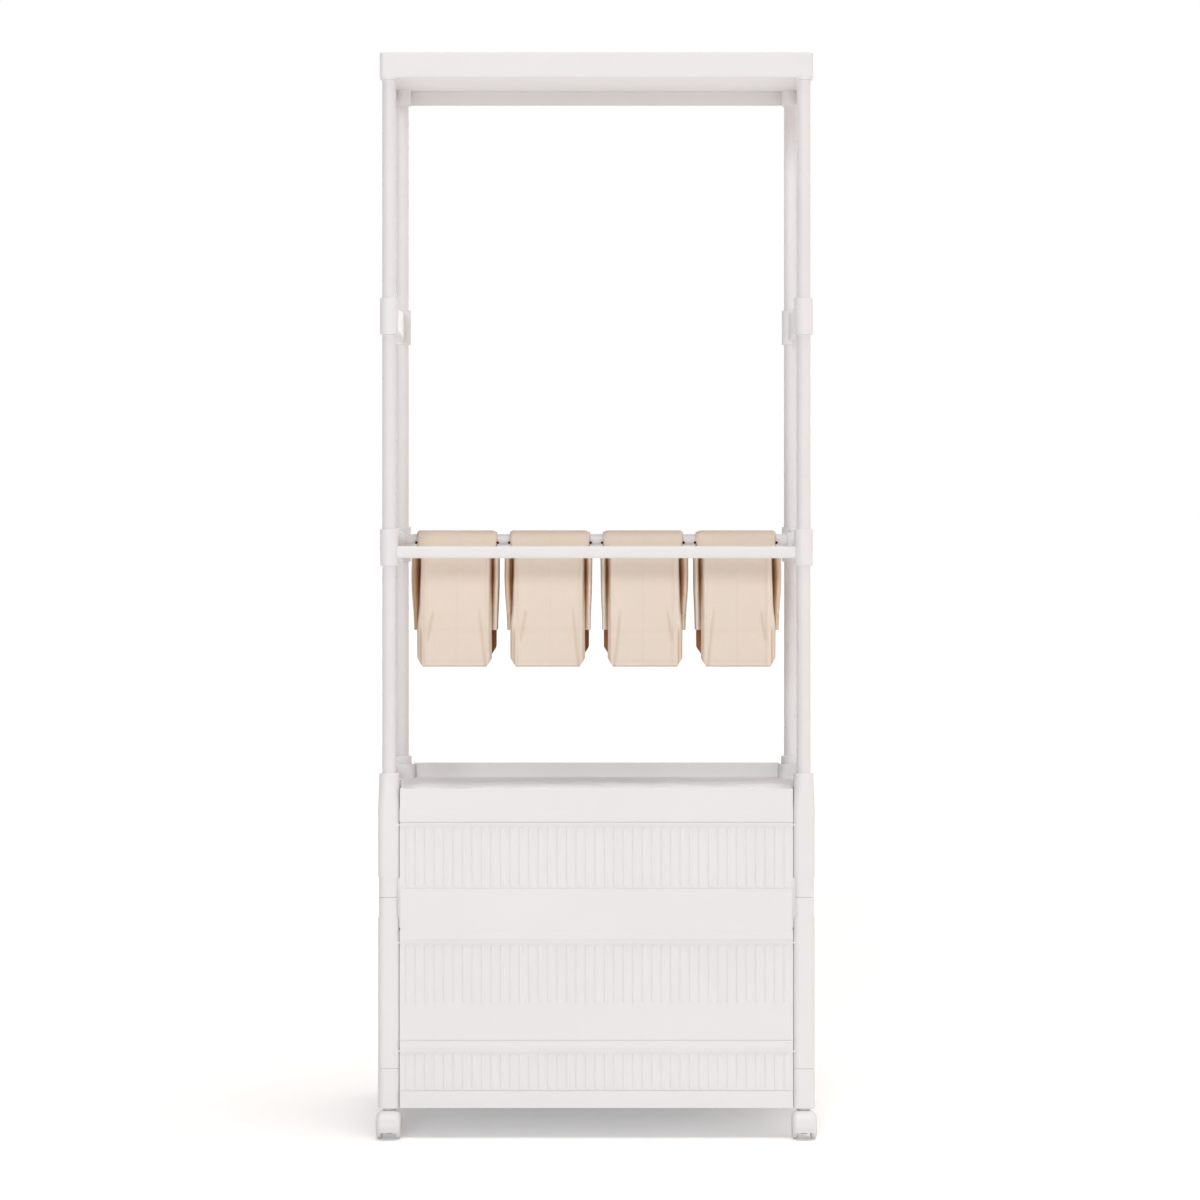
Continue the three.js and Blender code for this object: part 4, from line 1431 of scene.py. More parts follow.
@dataclass
class Casters:
    """Twin-wheel casters: a hooded fork on a stem, and two wheels on one axle."""

    wheel_r: float = 20 * MM
    wheel_w: float = 9.5 * MM
    wheel_gap: float = 20 * MM
    shoulder: float = 4.5 * MM
    inner_round: float = 3 * MM
    hub_r: float = 10.5 * MM
    hub_dish: float = 1.6 * MM
    axle_r: float = 3 * MM
    trail: float = 14 * MM
    hood_t: float = 11 * MM
    hood_out: float = 23.5 * MM
    hood_wall: float = 2 * MM
    hood_round: float = 9 * MM
    hood_start: float = math.radians(-19)
    swivel_r: float = 11 * MM
    swivel_h: float = 3 * MM
    stem_r: float = 5 * MM
    stem_len: float = 30 * MM
    web_r: float = 13 * MM
    soft: float = 1.2 * MM
    neck_in: float = 1.5 * MM
    neck_end: float = 1 * MM
    plate_round: float = 0.5 * MM
    stem_round: float = 1 * MM
    foot_rings: tuple[float, ...] = (0.5 * MM, 2.5 * MM, 5 * MM, 7.5 * MM)
    face_in: float = 0.4 * MM
    rim_past_hub: float = 1 * MM
    boss_out: float = 2.5 * MM
    boss_in: float = 1.5 * MM
    boss_drop: float = 0.3 * MM
    axle_play: float = 0.3 * MM
    axle_past: float = 1 * MM
    axle_facets: int = 24
    arch_steps: int = 7
    inner_steps: int = 5
    turns: int = 48

    def hood_section(self) -> list[tuple[float, float]]:
        """The hood's wall in section: place across and radius from the axle, outside and then inside.

        Returns:
            The loop of points.
        """
        half = self.wheel_gap / 2 + self.wheel_w
        angles = [math.pi / 2 * i / self.arch_steps for i in range(self.arch_steps + 1)]

        def arch(inset: float) -> list[tuple[float, float]]:
            """The wall's line at a depth below its outer face."""
            radius = self.hood_round - inset
            x, r = half - self.hood_round, self.hood_out - self.hood_round
            right = [(x + radius * math.sin(a), r + radius * math.cos(a)) for a in angles]
            return [(-x, r) for x, r in reversed(right)] + right

        return arch(0.0) + arch(self.hood_wall)[::-1]

    def fender(self, work: Workpiece, axle: Vector) -> None:
        """Add the hood that arches over both wheels.

        Args:
            work: The hood's workpiece.
            axle: The middle of the axle.
        """
        section = self.hood_section()
        rings = []
        for i in range(self.turns + 1):
            angle = self.hood_start + (math.pi - 2 * self.hood_start) * i / self.turns
            along = Vector((0, math.cos(angle), math.sin(angle)))
            rings.append([axle + AXIS_X * x + along * r for x, r in section])
        work.loft(rings)

    def column(self, work: Workpiece, x: float, y: float, axle: Vector, plate: float) -> None:
        """Add the swivel column, which ends on the hood, with its plate and its stem.

        Args:
            work: The hood's workpiece.
            x: The swivel's place.
            y: The swivel's place.
            axle: The middle of the axle.
            plate: The height of the plate's lower face.
        """
        middle = self.hood_out - self.hood_wall / 2

        def level(radius: float, height: float | None) -> Ring:
            """A ring at a height, or on the hood when there is none."""
            ring = []
            for k in range(self.turns):
                angle = 2 * math.pi * k / self.turns
                px, py = x + radius * math.cos(angle), y + radius * math.sin(angle)
                rest = axle.z + math.sqrt(max(self.web_r ** 2, middle ** 2 - (py - axle.y) ** 2))
                ring.append(Vector((px, py, rest if height is None else height)))
            return ring

        top, stem_top = plate + self.swivel_h, plate + self.stem_len
        neck = self.swivel_r - self.neck_in
        rings = [level(radius, None) for radius in (*self.foot_rings, neck)]
        for radius, height in (
            (neck, plate - self.neck_end),
            (self.swivel_r, plate),
            (self.swivel_r, top - self.plate_round),
            (self.swivel_r - self.plate_round, top),
            (self.stem_r, top),
            (self.stem_r, stem_top - self.stem_round),
            (self.stem_r - self.stem_round, stem_top),
        ):
            rings.append(level(radius, height))
        work.loft(rings)

    def hood(self, corner: Corner, axle: Vector) -> Workpiece:
        """The hood with its web, swivel and stem.

        Args:
            corner: The caster's corner.
            axle: The middle of its axle.

        Returns:
            The workpiece.
        """
        work = Workpiece()
        self.fender(work, axle)
        web, soft = self.hood_t / 2, self.soft
        disc = [(self.axle_r, -web), (self.web_r - soft, -web), (self.web_r, -web + soft)]
        disc += [(r, -h) for r, h in reversed(disc)]
        work.lathe(disc, across_at(*axle), steps=self.turns, ring=True)
        low = (axle.x - web, axle.y - self.web_r + soft, axle.z + self.axle_r + soft)
        rise = math.sqrt(self.hood_out ** 2 - self.web_r ** 2)
        work.box(low, (axle.x + web, axle.y + self.web_r - soft, axle.z + rise), soft)
        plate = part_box(f"post_foot_{corner.tag}")[0].z - SIZES.seat_gap - self.swivel_h
        self.column(work, corner.x, corner.y, axle, plate)
        return work

    def wheels(self, axle: Vector) -> Workpiece:
        """The two wheels on their axle.

        Args:
            axle: The middle of the axle.

        Returns:
            The workpiece.
        """
        work = Workpiece()
        wide, shoulder, inner = self.wheel_w, self.shoulder, self.inner_round
        root, crown, bulge = self.wheel_r - inner, self.wheel_r - shoulder, shoulder - self.face_in
        tyre = [(0, 0), (root, 0)]
        for i in range(1, self.inner_steps + 1):
            a = math.pi / 2 * i / self.inner_steps
            tyre.append((root + inner * math.sin(a), inner - inner * math.cos(a)))
        for i in range(self.arch_steps + 1):
            a = math.pi / 2 * i / self.arch_steps
            tyre.append((crown + shoulder * math.cos(a), wide - shoulder + bulge * math.sin(a)))
        face = wide - self.face_in
        dish, boss = face - self.hub_dish, face - self.boss_drop
        tyre += [(self.hub_r + self.rim_past_hub, face), (self.hub_r, dish)]
        tyre += [(self.axle_r + self.boss_out, dish), (self.axle_r + self.boss_in, boss), (0, boss)]
        for side in (-1, 1):
            profile = [(r, side * h) for r, h in tyre]
            place = across_at(axle.x + side * self.wheel_gap / 2, axle.y, axle.z)
            work.lathe(profile, place, steps=self.turns)
        reach, rod_r = self.wheel_gap / 2 + self.axle_past, self.axle_r - self.axle_play
        rod = [(0, -reach), (rod_r, -reach), (rod_r, reach), (0, reach)]
        work.lathe(rod, across_at(*axle), steps=self.axle_facets)
        return work

    def build(self) -> None:
        """Make the four casters."""
        for corner in SIZES.corners():
            axle = Vector((corner.x, corner.y + corner.end.value * self.trail, self.wheel_r))
            hood, wheels = f"caster_hood_{corner.tag}", f"caster_wheels_{corner.tag}"
            shell = self.hood(corner, axle).finish(f"{hood}_shell", MATERIALS["hood"])
            dress(shell, f"caster_{corner.tag}", Slot.CASTER, hood)
            pair = self.wheels(axle).finish(f"{wheels}_pair", MATERIALS["wheel"])
            dress(pair, f"wheels_{corner.tag}", Slot.CASTER, wheels)


def ease(t: float) -> float:
    """An even step from 0 to 1."""
    s = min(1.0, max(0.0, t))
    return s * s * (3 - 2 * s)


def gauss(t: float) -> float:
    """A bump of height 1 and unit width."""
    return math.exp(-t * t)


@dataclass(frozen=True)
class Bag:
    """One of the bags: its number, its middle, its side away from the middle and how much painted shade that
    side takes.
    """

    number: int
    x: float
    outward: int
    outer_shade: float

    @property
    def name(self) -> str:
        """The name of its node and its body."""
        return f"bag_{self.number}"


@dataclass(frozen=True)
class Drape:
    """A place on a hanging sheet: distance across, stand-off from the bar, and share of painted shade."""

    x: float
    off: float
    fold: float = 0.0


def blend(table: Pairs, at: float) -> float:
    """Read a table of places and values, with soft steps in between.

    Args:
        table: Rising places in millimetres, each with its value in millimetres.
        at: The place in metres.

    Returns:
        The value in metres.
    """
    where = at / MM
    for (low, first), (high, last) in zip(table, table[1:]):
        if where < high:
            return (first + (last - first) * ease((where - low) / (high - low))) * MM
    return table[-1][1] * MM


@dataclass
class HangingBags:
    """Four cloth bags over the bar, each a long leaf over a wider and shorter cuff."""

    pitch: float = 150.4 * MM
    bar_r: float = 8.5 * MM
    cloth_t: float = 0.9 * MM
    cuff_drop: float = 146 * MM
    leaf_front: float = 205 * MM
    leaf_rear: float = 189 * MM
    cut_h: float = 14 * MM
    cut_w: float = 9 * MM
    hem: float = 9 * MM
    columns: int = 96
    row_pitch: float = 3 * MM
    turn_rows: int = 14
    stitch_pitch: float = 3.6 * MM
    # Small dark balls at the bar: painted shadow where the cloth loops round it.
    tack_r: float = 2.2 * MM
    shadow_gap_steps: tuple[int, int] = (10, 7)
    shadow_gap_past: float = 1.4 * MM
    shadow_gap_angles: tuple[float, float] = (math.radians(202), math.radians(-22))
    seam_lift: float = 0.1 * MM
    stitch_share: float = 0.36
    stitch_thread: float = 0.32 * MM
    bar_gap: float = 0.3 * MM
    lift: float = 3.9 * MM
    wrinkle_from: float = 60 * MM
    broad_wrinkle: float = 1.3 * MM
    fine_wrinkle: float = 0.3 * MM
    broad_scale: tuple[float, float] = (18, 8)
    fine_scale: tuple[float, float] = (60, 20)
    broad_seed: tuple[float, float] = (7.3, 3.1)
    fine_seed: tuple[float, float] = (5.7, 2.3)
    middle_crease: tuple[float, float] = (0.35 * MM, 1.4 * MM)
    cuff_crease: tuple[float, float] = (0.5 * MM, 4 * MM)
    slant_depth: float = 2.2 * MM
    slants: tuple[tuple[float, ...], ...] = ((36, 46, 105, 206, 2.2), (-38, -46, 112, 160, 2.4))
    # Painted shade on the top band over the bar.
    band_shade: float = 0.1
    bags: int = 4
    stand: tuple[tuple[float, float], ...] = ((0, 0), (33, 14), (62, 19), (90, 20.5), (146, 18.5), (206, 15))
    groove: tuple[tuple[float, float], ...] = (
        (0, 0), (26, 20), (58, 24), (82, 16), (115, 9), (146, 6), (206, 6),
    )
    leaf_outer: tuple[tuple[float, float], ...] = ((0, 64.5), (33, 59), (100, 60), (146, 63.4), (206, 63.4))
    leaf_inner: tuple[tuple[float, float], ...] = ((0, 64.5), (33, 57.5), (146, 56.5), (206, 57))
    leaf_back: tuple[tuple[float, float], ...] = ((0, 64.5), (60, 63.5), (206, 63))
    cuff_outer: tuple[tuple[float, float], ...] = ((0, 60), (24, 73), (60, 73), (146, 68.5))
    cuff_inner: tuple[tuple[float, float], ...] = ((0, 60), (24, 68.5), (60, 68), (146, 65.5))
    ridge: float = 50.5 * MM
    ridge_h: float = 2.2 * MM
    ridge_w: float = 2.4 * MM
    ridge_drop: float = 40 * MM
    rear_fold: float = 3 * MM
    outer_room: float = 4 * MM
    inner_room: float = 6 * MM
    rear_room: float = 8 * MM
    knee_in: float = 5 * MM
    fold_lag: float = 0.5 * MM
    turn_drop: float = 26 * MM
    droop: float = 2.5 * MM
    droop_span: tuple[float, float] = (0.88, 0.12)
    droop_drop: float = 24 * MM
    # Painted shade along the leaf's edges and hem, along the strip below the cuff, in the creases and on each
    # bag's outer side.
    edge_shade_tone: float = 0.4
    side_rim: float = 2 * MM
    hem_rim: float = 3 * MM
    strip: float = 57 * MM
    strip_step: float = 1.5 * MM
    strip_drop: float = 20 * MM
    strip_line: tuple[float, float] = (0.45, 1.3 * MM)
    strip_side: tuple[float, float] = (0.14, 1 * MM)
    below_cuff: tuple[float, float] = (8 * MM, 12 * MM)
    # Painted shade in the creases, full at crease_depth.
    crease_shade_tone: float = 0.16
    crease_depth: float = 2 * MM
    # Painted shade on each bag's outer side, from left to right.
    outer_shades: tuple[float, ...] = (0.8, 0.45, 0.4, 0.45)
    face_share: float = 0.7
    crest: float = 64 * MM
    crest_gap: float = 2 * MM
    crest_in: float = 2 * MM
    cuff_sink: float = 7 * MM
    cuff_under: float = 1.5 * MM
    cuff_rest: float = 0.6 * MM
    seat_lap: float = 1 * MM
    edge_fall: float = 9.0
    fall_share: float = 0.4
    wave_h: float = 0.6 * MM
    wave_scale: tuple[float, float] = (40, 16)
    wave_seed: tuple[float, float] = (3.3, 9.1)
    # Painted shade, from here down to band: in the grooves, towards the cuff's edges, under the rail and on
    # the top band.
    fold_tone: float = 0.92
    fold_depth: float = 16 * MM
    tone_drop: float = 20 * MM
    inside_lag: float = 1.5 * MM
    inside_w: float = 4.5 * MM
    cuff_less_shade: float = 0.12
    inner_edge_shade: float = 0.3
    edge_shade_w: float = 3 * MM
    rail_shade: tuple[float, float] = (30 * MM, 46 * MM)
    shade_tone: float = 0.1
    shade_rise: float = 12 * MM
    band: tuple[float, float] = (8 * MM, 10 * MM)
    bar_z: float = field(init=False)

    def __post_init__(self) -> None:
        """Read the bar's height from the frame."""
        low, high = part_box("bag_bar")
        self.bar_z = (low.z + high.z) / 2

    def wrinkle(self, x: float, drop: float, bag: Bag, leaf: int) -> float:
        """How far soft creases lift the cloth.

        Args:
            x: Place across the bag.
            drop: Depth below the bar.
            bag: The bag.
            leaf: -1 in front and 1 behind.

        Returns:
            The lift in metres.
        """
        (wide, tall), (step, turn) = self.broad_scale, self.broad_seed
        broad = noise.noise(Vector((x * wide, drop * tall, bag.number * step + leaf * turn)))
        (wide, tall), (step, turn) = self.fine_scale, self.fine_seed
        fine = noise.noise(Vector((x * wide, drop * tall, bag.number * step - leaf * turn)))
        return ease(drop / self.wrinkle_from) * (self.broad_wrinkle * broad + self.fine_wrinkle * fine)

    def crease(self, x: float, drop: float) -> float:
        """How deep the pressed creases of a front leaf are.

        Args:
            x: Place across the bag.
            drop: Depth below the bar.

        Returns:
            The depth in metres.
        """
        middle_depth, middle_w = self.middle_crease
        cuff_depth, cuff_w = self.cuff_crease
        depth = middle_depth * gauss(x / middle_w) + cuff_depth * gauss((drop - self.cuff_drop) / cuff_w)
        for start, end, low, high, width in self.slants:
            share = (drop / MM - low) / (high - low)
            line = (start + (end - start) * min(1.0, max(0.0, share))) * MM
            across = self.slant_depth * gauss((x - line) / (width * MM))
            depth += across * ease(share * 4) * ease((1.15 - share) * 5)
        return depth

    def leaf_point(self, u: float, drop: float, leaf: int, bag: Bag) -> Drape:
        """The long leaf's place at a depth below the bar.

        Args:
            u: Place across, from -1 to 1.
            drop: Depth below the bar.
            leaf: -1 in front and 1 behind.
            bag: The bag.

        Returns:
            The place.
        """
        front, side = leaf < 0, 1 if u > 0 else -1
        outer = side == bag.outward
        length = self.leaf_front if front else self.leaf_rear
        front_table = self.leaf_outer if outer else self.leaf_inner
        half = blend(front_table if front else self.leaf_back, drop)
        limit = half - self.cut_w * max(0.0, (drop - length + self.cut_h) / self.cut_h)
        stand, depth = blend(self.stand, drop), blend(self.groove, drop) if front else self.rear_fold
        start = min(self.ridge, half - self.inner_room) if front else half - self.rear_room
        if front and outer:
            start = half - self.outer_room
        share = abs(u) / self.face_share
        knee = start - self.knee_in
        past = (half - knee) * (abs(u) - self.face_share) / (1 - self.face_share)
        x = knee * share if share < 1 else knee + past
        fallen = ease((x - start - self.fold_lag) / (half - start - self.fold_lag))
        ridge = self.ridge_h * gauss((x - self.ridge) / self.ridge_w) * ease(drop / self.ridge_drop) * front
        droop_from, droop_over = self.droop_span
        droop = self.droop * ease((abs(u) - droop_from) / droop_over) * (1 - ease(drop / self.droop_drop))
        off = stand + ridge - droop - depth * fallen * ease(drop / self.turn_drop)
        beside = self.strip_step * ease((x - self.strip) / self.strip_step)
        off -= beside * ease((drop - self.cuff_drop) / self.strip_drop) * front
        place = side * min(x, limit)
        off += self.wrinkle(place, drop, bag, leaf) * (1 - fallen)
        if not front:
            return Drape(place, off)
        crease = self.crease(-place * bag.outward, drop)
        off -= crease
        # Painted shade in the groove beside the face, darker the deeper the groove is.
        tone = self.fold_tone * min(1.0, depth / self.fold_depth) * ease(drop / self.tone_drop)
        # Painted shade on the bag's outer side.
        if outer:
            tone = max(tone, bag.outer_shade * ease(drop / self.tone_drop))
        inside = tone * ease((x - start - self.inside_lag) / self.inside_w)
        low, high = self.rail_shade
        shaded = self.shade_tone * ease((drop - low + self.shade_rise) / self.shade_rise)
        shaded *= 1 - ease((drop - low) / (high - low))
        # Painted shade on the top band, fading out below it.
        band_low, band_fade = self.band
        band = self.band_shade * (1 - ease((drop - band_low) / band_fade))
        # Painted shade along the side edges and the hem.
        hem = ease((drop - length + self.hem_rim) / self.hem_rim)
        rim = self.edge_shade_tone * max(ease((x - half + self.side_rim) / self.side_rim), hem)
        # Painted shade: a dark line along the strip where the leaf steps back, on the outer side below the
        # cuff.
        above, fade = self.below_cuff
        (line_tone, line_w), (side_tone, side_w) = self.strip_line, self.strip_side
        seam = line_tone * gauss((x - self.strip) / line_w) + side_tone * ease((x - self.strip) / side_w)
        rim = max(rim, ease((drop - self.cuff_drop + above) / fade) * outer * seam)
        # Painted shade in the creases.
        crease_shade = self.crease_shade_tone * crease / self.crease_depth
        return Drape(place, off, max(inside, shaded, band, rim, crease_shade))

    def cuff_point(self, u: float, drop: float, leaf: int, bag: Bag) -> Drape:
        """The cuff's place at a depth below the bar.

        Args:
            u: Place across, from -1 to 1.
            drop: Depth below the bar.
            leaf: -1 in front and 1 behind.
            bag: The bag.

        Returns:
            The place.
        """
        side = 1 if u > 0 else -1
        outward = side == bag.outward
        edge = blend(self.cuff_outer if outward else self.cuff_inner, drop)
        seat = blend(self.leaf_outer if outward else self.leaf_inner, drop)
        x = abs(u) * edge
        stand, groove = blend(self.stand, drop), blend(self.groove, drop)
        opened = ease(drop / self.turn_drop)
        low = max(-self.cuff_sink * opened, stand - groove - self.cuff_under)
        crest = edge - self.outer_room if outward else max(self.crest, seat + self.crest_gap)
        rise = ease((x - seat + self.fold_lag) / (crest - seat + self.fold_lag))
        fall = ease((x - crest) / (edge - crest)) * opened
        inner = low + (stand - self.crest_in - low) * rise * opened
        off = inner - fall * self.edge_fall * MM * (1 - self.fall_share * ease(drop / self.cuff_drop))
        if x < seat - self.seat_lap:
            off = max(-self.cuff_sink * opened, low - self.cuff_rest)
        (wide, tall), (step, turn) = self.wave_scale, self.wave_seed
        waved = noise.noise(Vector((x * wide, drop * tall, bag.number * step + side * turn + leaf)))
        wave = self.wave_h * waved * rise * opened
        # Painted shade in the groove beside the leaf, fading out towards the crest.
        tone = self.fold_tone * min(1.0, groove / self.fold_depth) * opened
        # Painted shade towards the cuff's edges, lighter than on the leaf.
        outer = bag.outer_shade - self.cuff_less_shade if outward else self.inner_edge_shade * fall
        fade = seat + self.outer_room if outward else seat
        groove_shade = tone * (1 - ease((x - fade) / (crest - fade)))
        edge_shade = outer * ease(drop / self.tone_drop) * ease((edge - x) / self.edge_shade_w)
        return Drape(side * x, off + wave, max(groove_shade, edge_shade))

    def drape(self, bag: Bag, rest_r: float, drops: tuple[float, float], point: Callable) -> Grid:
        """The grid of a sheet that runs up the front, over the bar and down the back.

        Args:
            bag: The bag.
            rest_r: The sheet's radius over the bar.
            drops: How far it hangs in front and behind.
            point: Gives the place from u, drop, leaf and bag.

        Returns:
            Rows of points from the front hem to the rear hem, and each point's share of painted shade.
        """
        across = [2 * k / self.columns - 1 for k in range(self.columns + 1)]
        rows, painted_shade_shares = [], []

        def add(leaf: int, drop: float, angle: float | None) -> None:
            """Add a row that hangs, or one that turns over the bar at an angle."""
            places = [point(u, drop, leaf, bag) for u in across]
            row = []
            for place in places:
                out = rest_r + place.off
                if angle is None:
                    depth, rise = leaf * out, -drop
                else:
                    depth, rise = out * math.cos(angle), out * math.sin(angle)
                row.append(Vector((bag.x + place.x, depth, self.bar_z + rise)))
            rows.append(row)
            painted_shade_shares.append([place.fold for place in places])

        front, rear = (round(length / self.row_pitch) for length in drops)
        for i in range(front, -1, -1):
            add(-1, drops[0] * i / front, None)
        for i in range(1, self.turn_rows):
            add(-1, 0.0, math.pi * (1 - i / self.turn_rows))
        for i in range(rear + 1):
            add(1, drops[1] * i / rear, None)
        return rows, painted_shade_shares

    def sheet(self, name: str, grid: Grid, body: str, nodes: tuple[str, ...]) -> None:
        """Args:
            name: The piece's name.
            grid: The grid, with each point's share of painted shade.
            body: The body that it rides on.
            nodes: The frame nodes that it stands for.
        """
        rows, painted_shade_shares = grid
        wide = len(rows[0])
        middle = [row[wide // 2] for row in rows]
        steps = [0.0]
        for a, b in zip(middle, middle[1:]):
            steps.append(steps[-1] + (b - a).length)
        across = []
        for row in rows:
            run = [0.0]
            for a, b in zip(row, row[1:]):
                run.append(run[-1] + (b - a).length)
            across.append([value - run[-1] / 2 for value in run])
        mesh = bpy.data.meshes.new(name)
        faces = [
            (i * wide + k, i * wide + k + 1, (i + 1) * wide + k + 1, (i + 1) * wide + k)
            for i in range(len(rows) - 1)
            for k in range(wide - 1)
        ]
        mesh.from_pydata([tuple(p) for row in rows for p in row], [], faces)
        cloth, fold = mesh.uv_layers.new(name="cloth"), mesh.uv_layers.new(name="fold")
        for loop in mesh.loops:
            i, k = divmod(loop.vertex_index, wide)
            cloth.data[loop.index].uv = (across[i][k], steps[i])
            fold.data[loop.index].uv = (painted_shade_shares[i][k], 0)
        mesh.materials.append(MATERIALS["cloth"])
        mesh.materials.append(MATERIALS["painted_shade"])
        mesh.shade_smooth()
        piece = bpy.data.objects.new(name, mesh)
        bpy.context.scene.collection.objects.link(piece)
        solid = piece.modifiers.new("thickness", "SOLIDIFY")
        solid.thickness = self.cloth_t
        solid.offset = 0.0
        solid.use_rim = True
        # The back faces and the rims take the brown cloth of painted shade.
        solid.material_offset = 1
        dress(piece, body, Slot.CLOTH, *nodes)

    def stitches(self, name: str, rows: list[list[Vector]], body: str) -> None:
        """Sew a hem row across the front and the rear hem of a sheet.

        Args:
            name: The piece's name.
            rows: The sheet's grid.
            body: The body that it rides on.
        """
        work = Workpiece()
        inset = max(1, round(self.hem / self.row_pitch))
        for row, outward in ((rows[inset], -1), (rows[-1 - inset], 1)):
            lift = Vector((0, outward * (self.cloth_t / 2 + self.seam_lift), 0))
            line = [p + lift for p in row[2:-2]]
            start = bpy.data.meshes.new("seam")
            start.from_pydata([tuple(p) for p in line], [(i, i + 1) for i in range(len(line) - 1)], [])
            work.mesh(STITCH_ROW.run({
                "Material": MATERIALS["thread"], "Pitch": self.stitch_pitch,
                "Length": self.stitch_pitch * self.stitch_share, "Thread": self.stitch_thread,
            }, start))
        dress(work.finish(name, MATERIALS["thread"]), body, Slot.CLOTH)

    def shadow_gaps(self, bag: Bag, rest_r: float) -> None:
        """Put a small dark ball at each end of the bag's top, in front and behind, as painted shadow where
        the cloth turns round the bar.

        Args:
            bag: The bag.
            rest_r: The leaf's radius over the bar.
        """
        work = Workpiece()
        half = self.leaf_outer[0][1] * MM
        facets, rings = self.shadow_gap_steps
        for side in (-1, 1):
            x = side * (half + self.shadow_gap_past)
            for angle in self.shadow_gap_angles:
                out = Vector((x, rest_r * math.cos(angle), rest_r * math.sin(angle)))
                ball = bmesh.new()
                place = Matrix.Translation(Vector((bag.x, 0, self.bar_z)) + out)
                bmesh.ops.create_uvsphere(
                    ball, u_segments=facets, v_segments=rings, radius=self.tack_r, matrix=place
                )
                work.absorb(ball)
        dress(work.finish(f"{bag.name}_tacks", MATERIALS["shadow_gap"]), bag.name, Slot.CLOTH)

    def build(self) -> None:
        """Make the four bags."""
        cuff_r = self.bar_r + self.bar_gap + self.cloth_t / 2
        leaf_r = cuff_r + self.cloth_t + self.lift
        for i in range(self.bags):
            x = (i - (self.bags - 1) / 2) * self.pitch
            bag = Bag(i + 1, x, 1 if x > 0 else -1, self.outer_shades[i])
            cuff = self.drape(bag, cuff_r, (self.cuff_drop, self.cuff_drop), self.cuff_point)
            leaf = self.drape(bag, leaf_r, (self.leaf_front, self.leaf_rear), self.leaf_point)
            self.sheet(f"{bag.name}_leaf", leaf, bag.name, (bag.name,))
            self.sheet(f"{bag.name}_cuff", cuff, bag.name, ())
            self.stitches(f"{bag.name}_leaf_seam", leaf[0], bag.name)
            self.stitches(f"{bag.name}_cuff_seam", cuff[0], bag.name)
            self.shadow_gaps(bag, leaf_r)


@dataclass(frozen=True)
class Sun:
    """A soft far lamp: its strength, its angular size in degrees, its direction and its colour."""

    name: str
    strength: float
    spread: float
    towards: tuple[float, float, float]
    colour: Colour

    def build(self) -> None:
        """Add the lamp, whose light travels along its direction."""
        data = bpy.data.lights.new(self.name, "SUN")
        data.energy = self.strength
        data.color = self.colour
        data.angle = math.radians(self.spread)
        lamp = bpy.data.objects.new(self.name, data)
        lamp.rotation_mode = "QUATERNION"
        lamp.rotation_quaternion = Vector(self.towards).to_track_quat("-Z", "Y")
        bpy.context.scene.collection.objects.link(lamp)


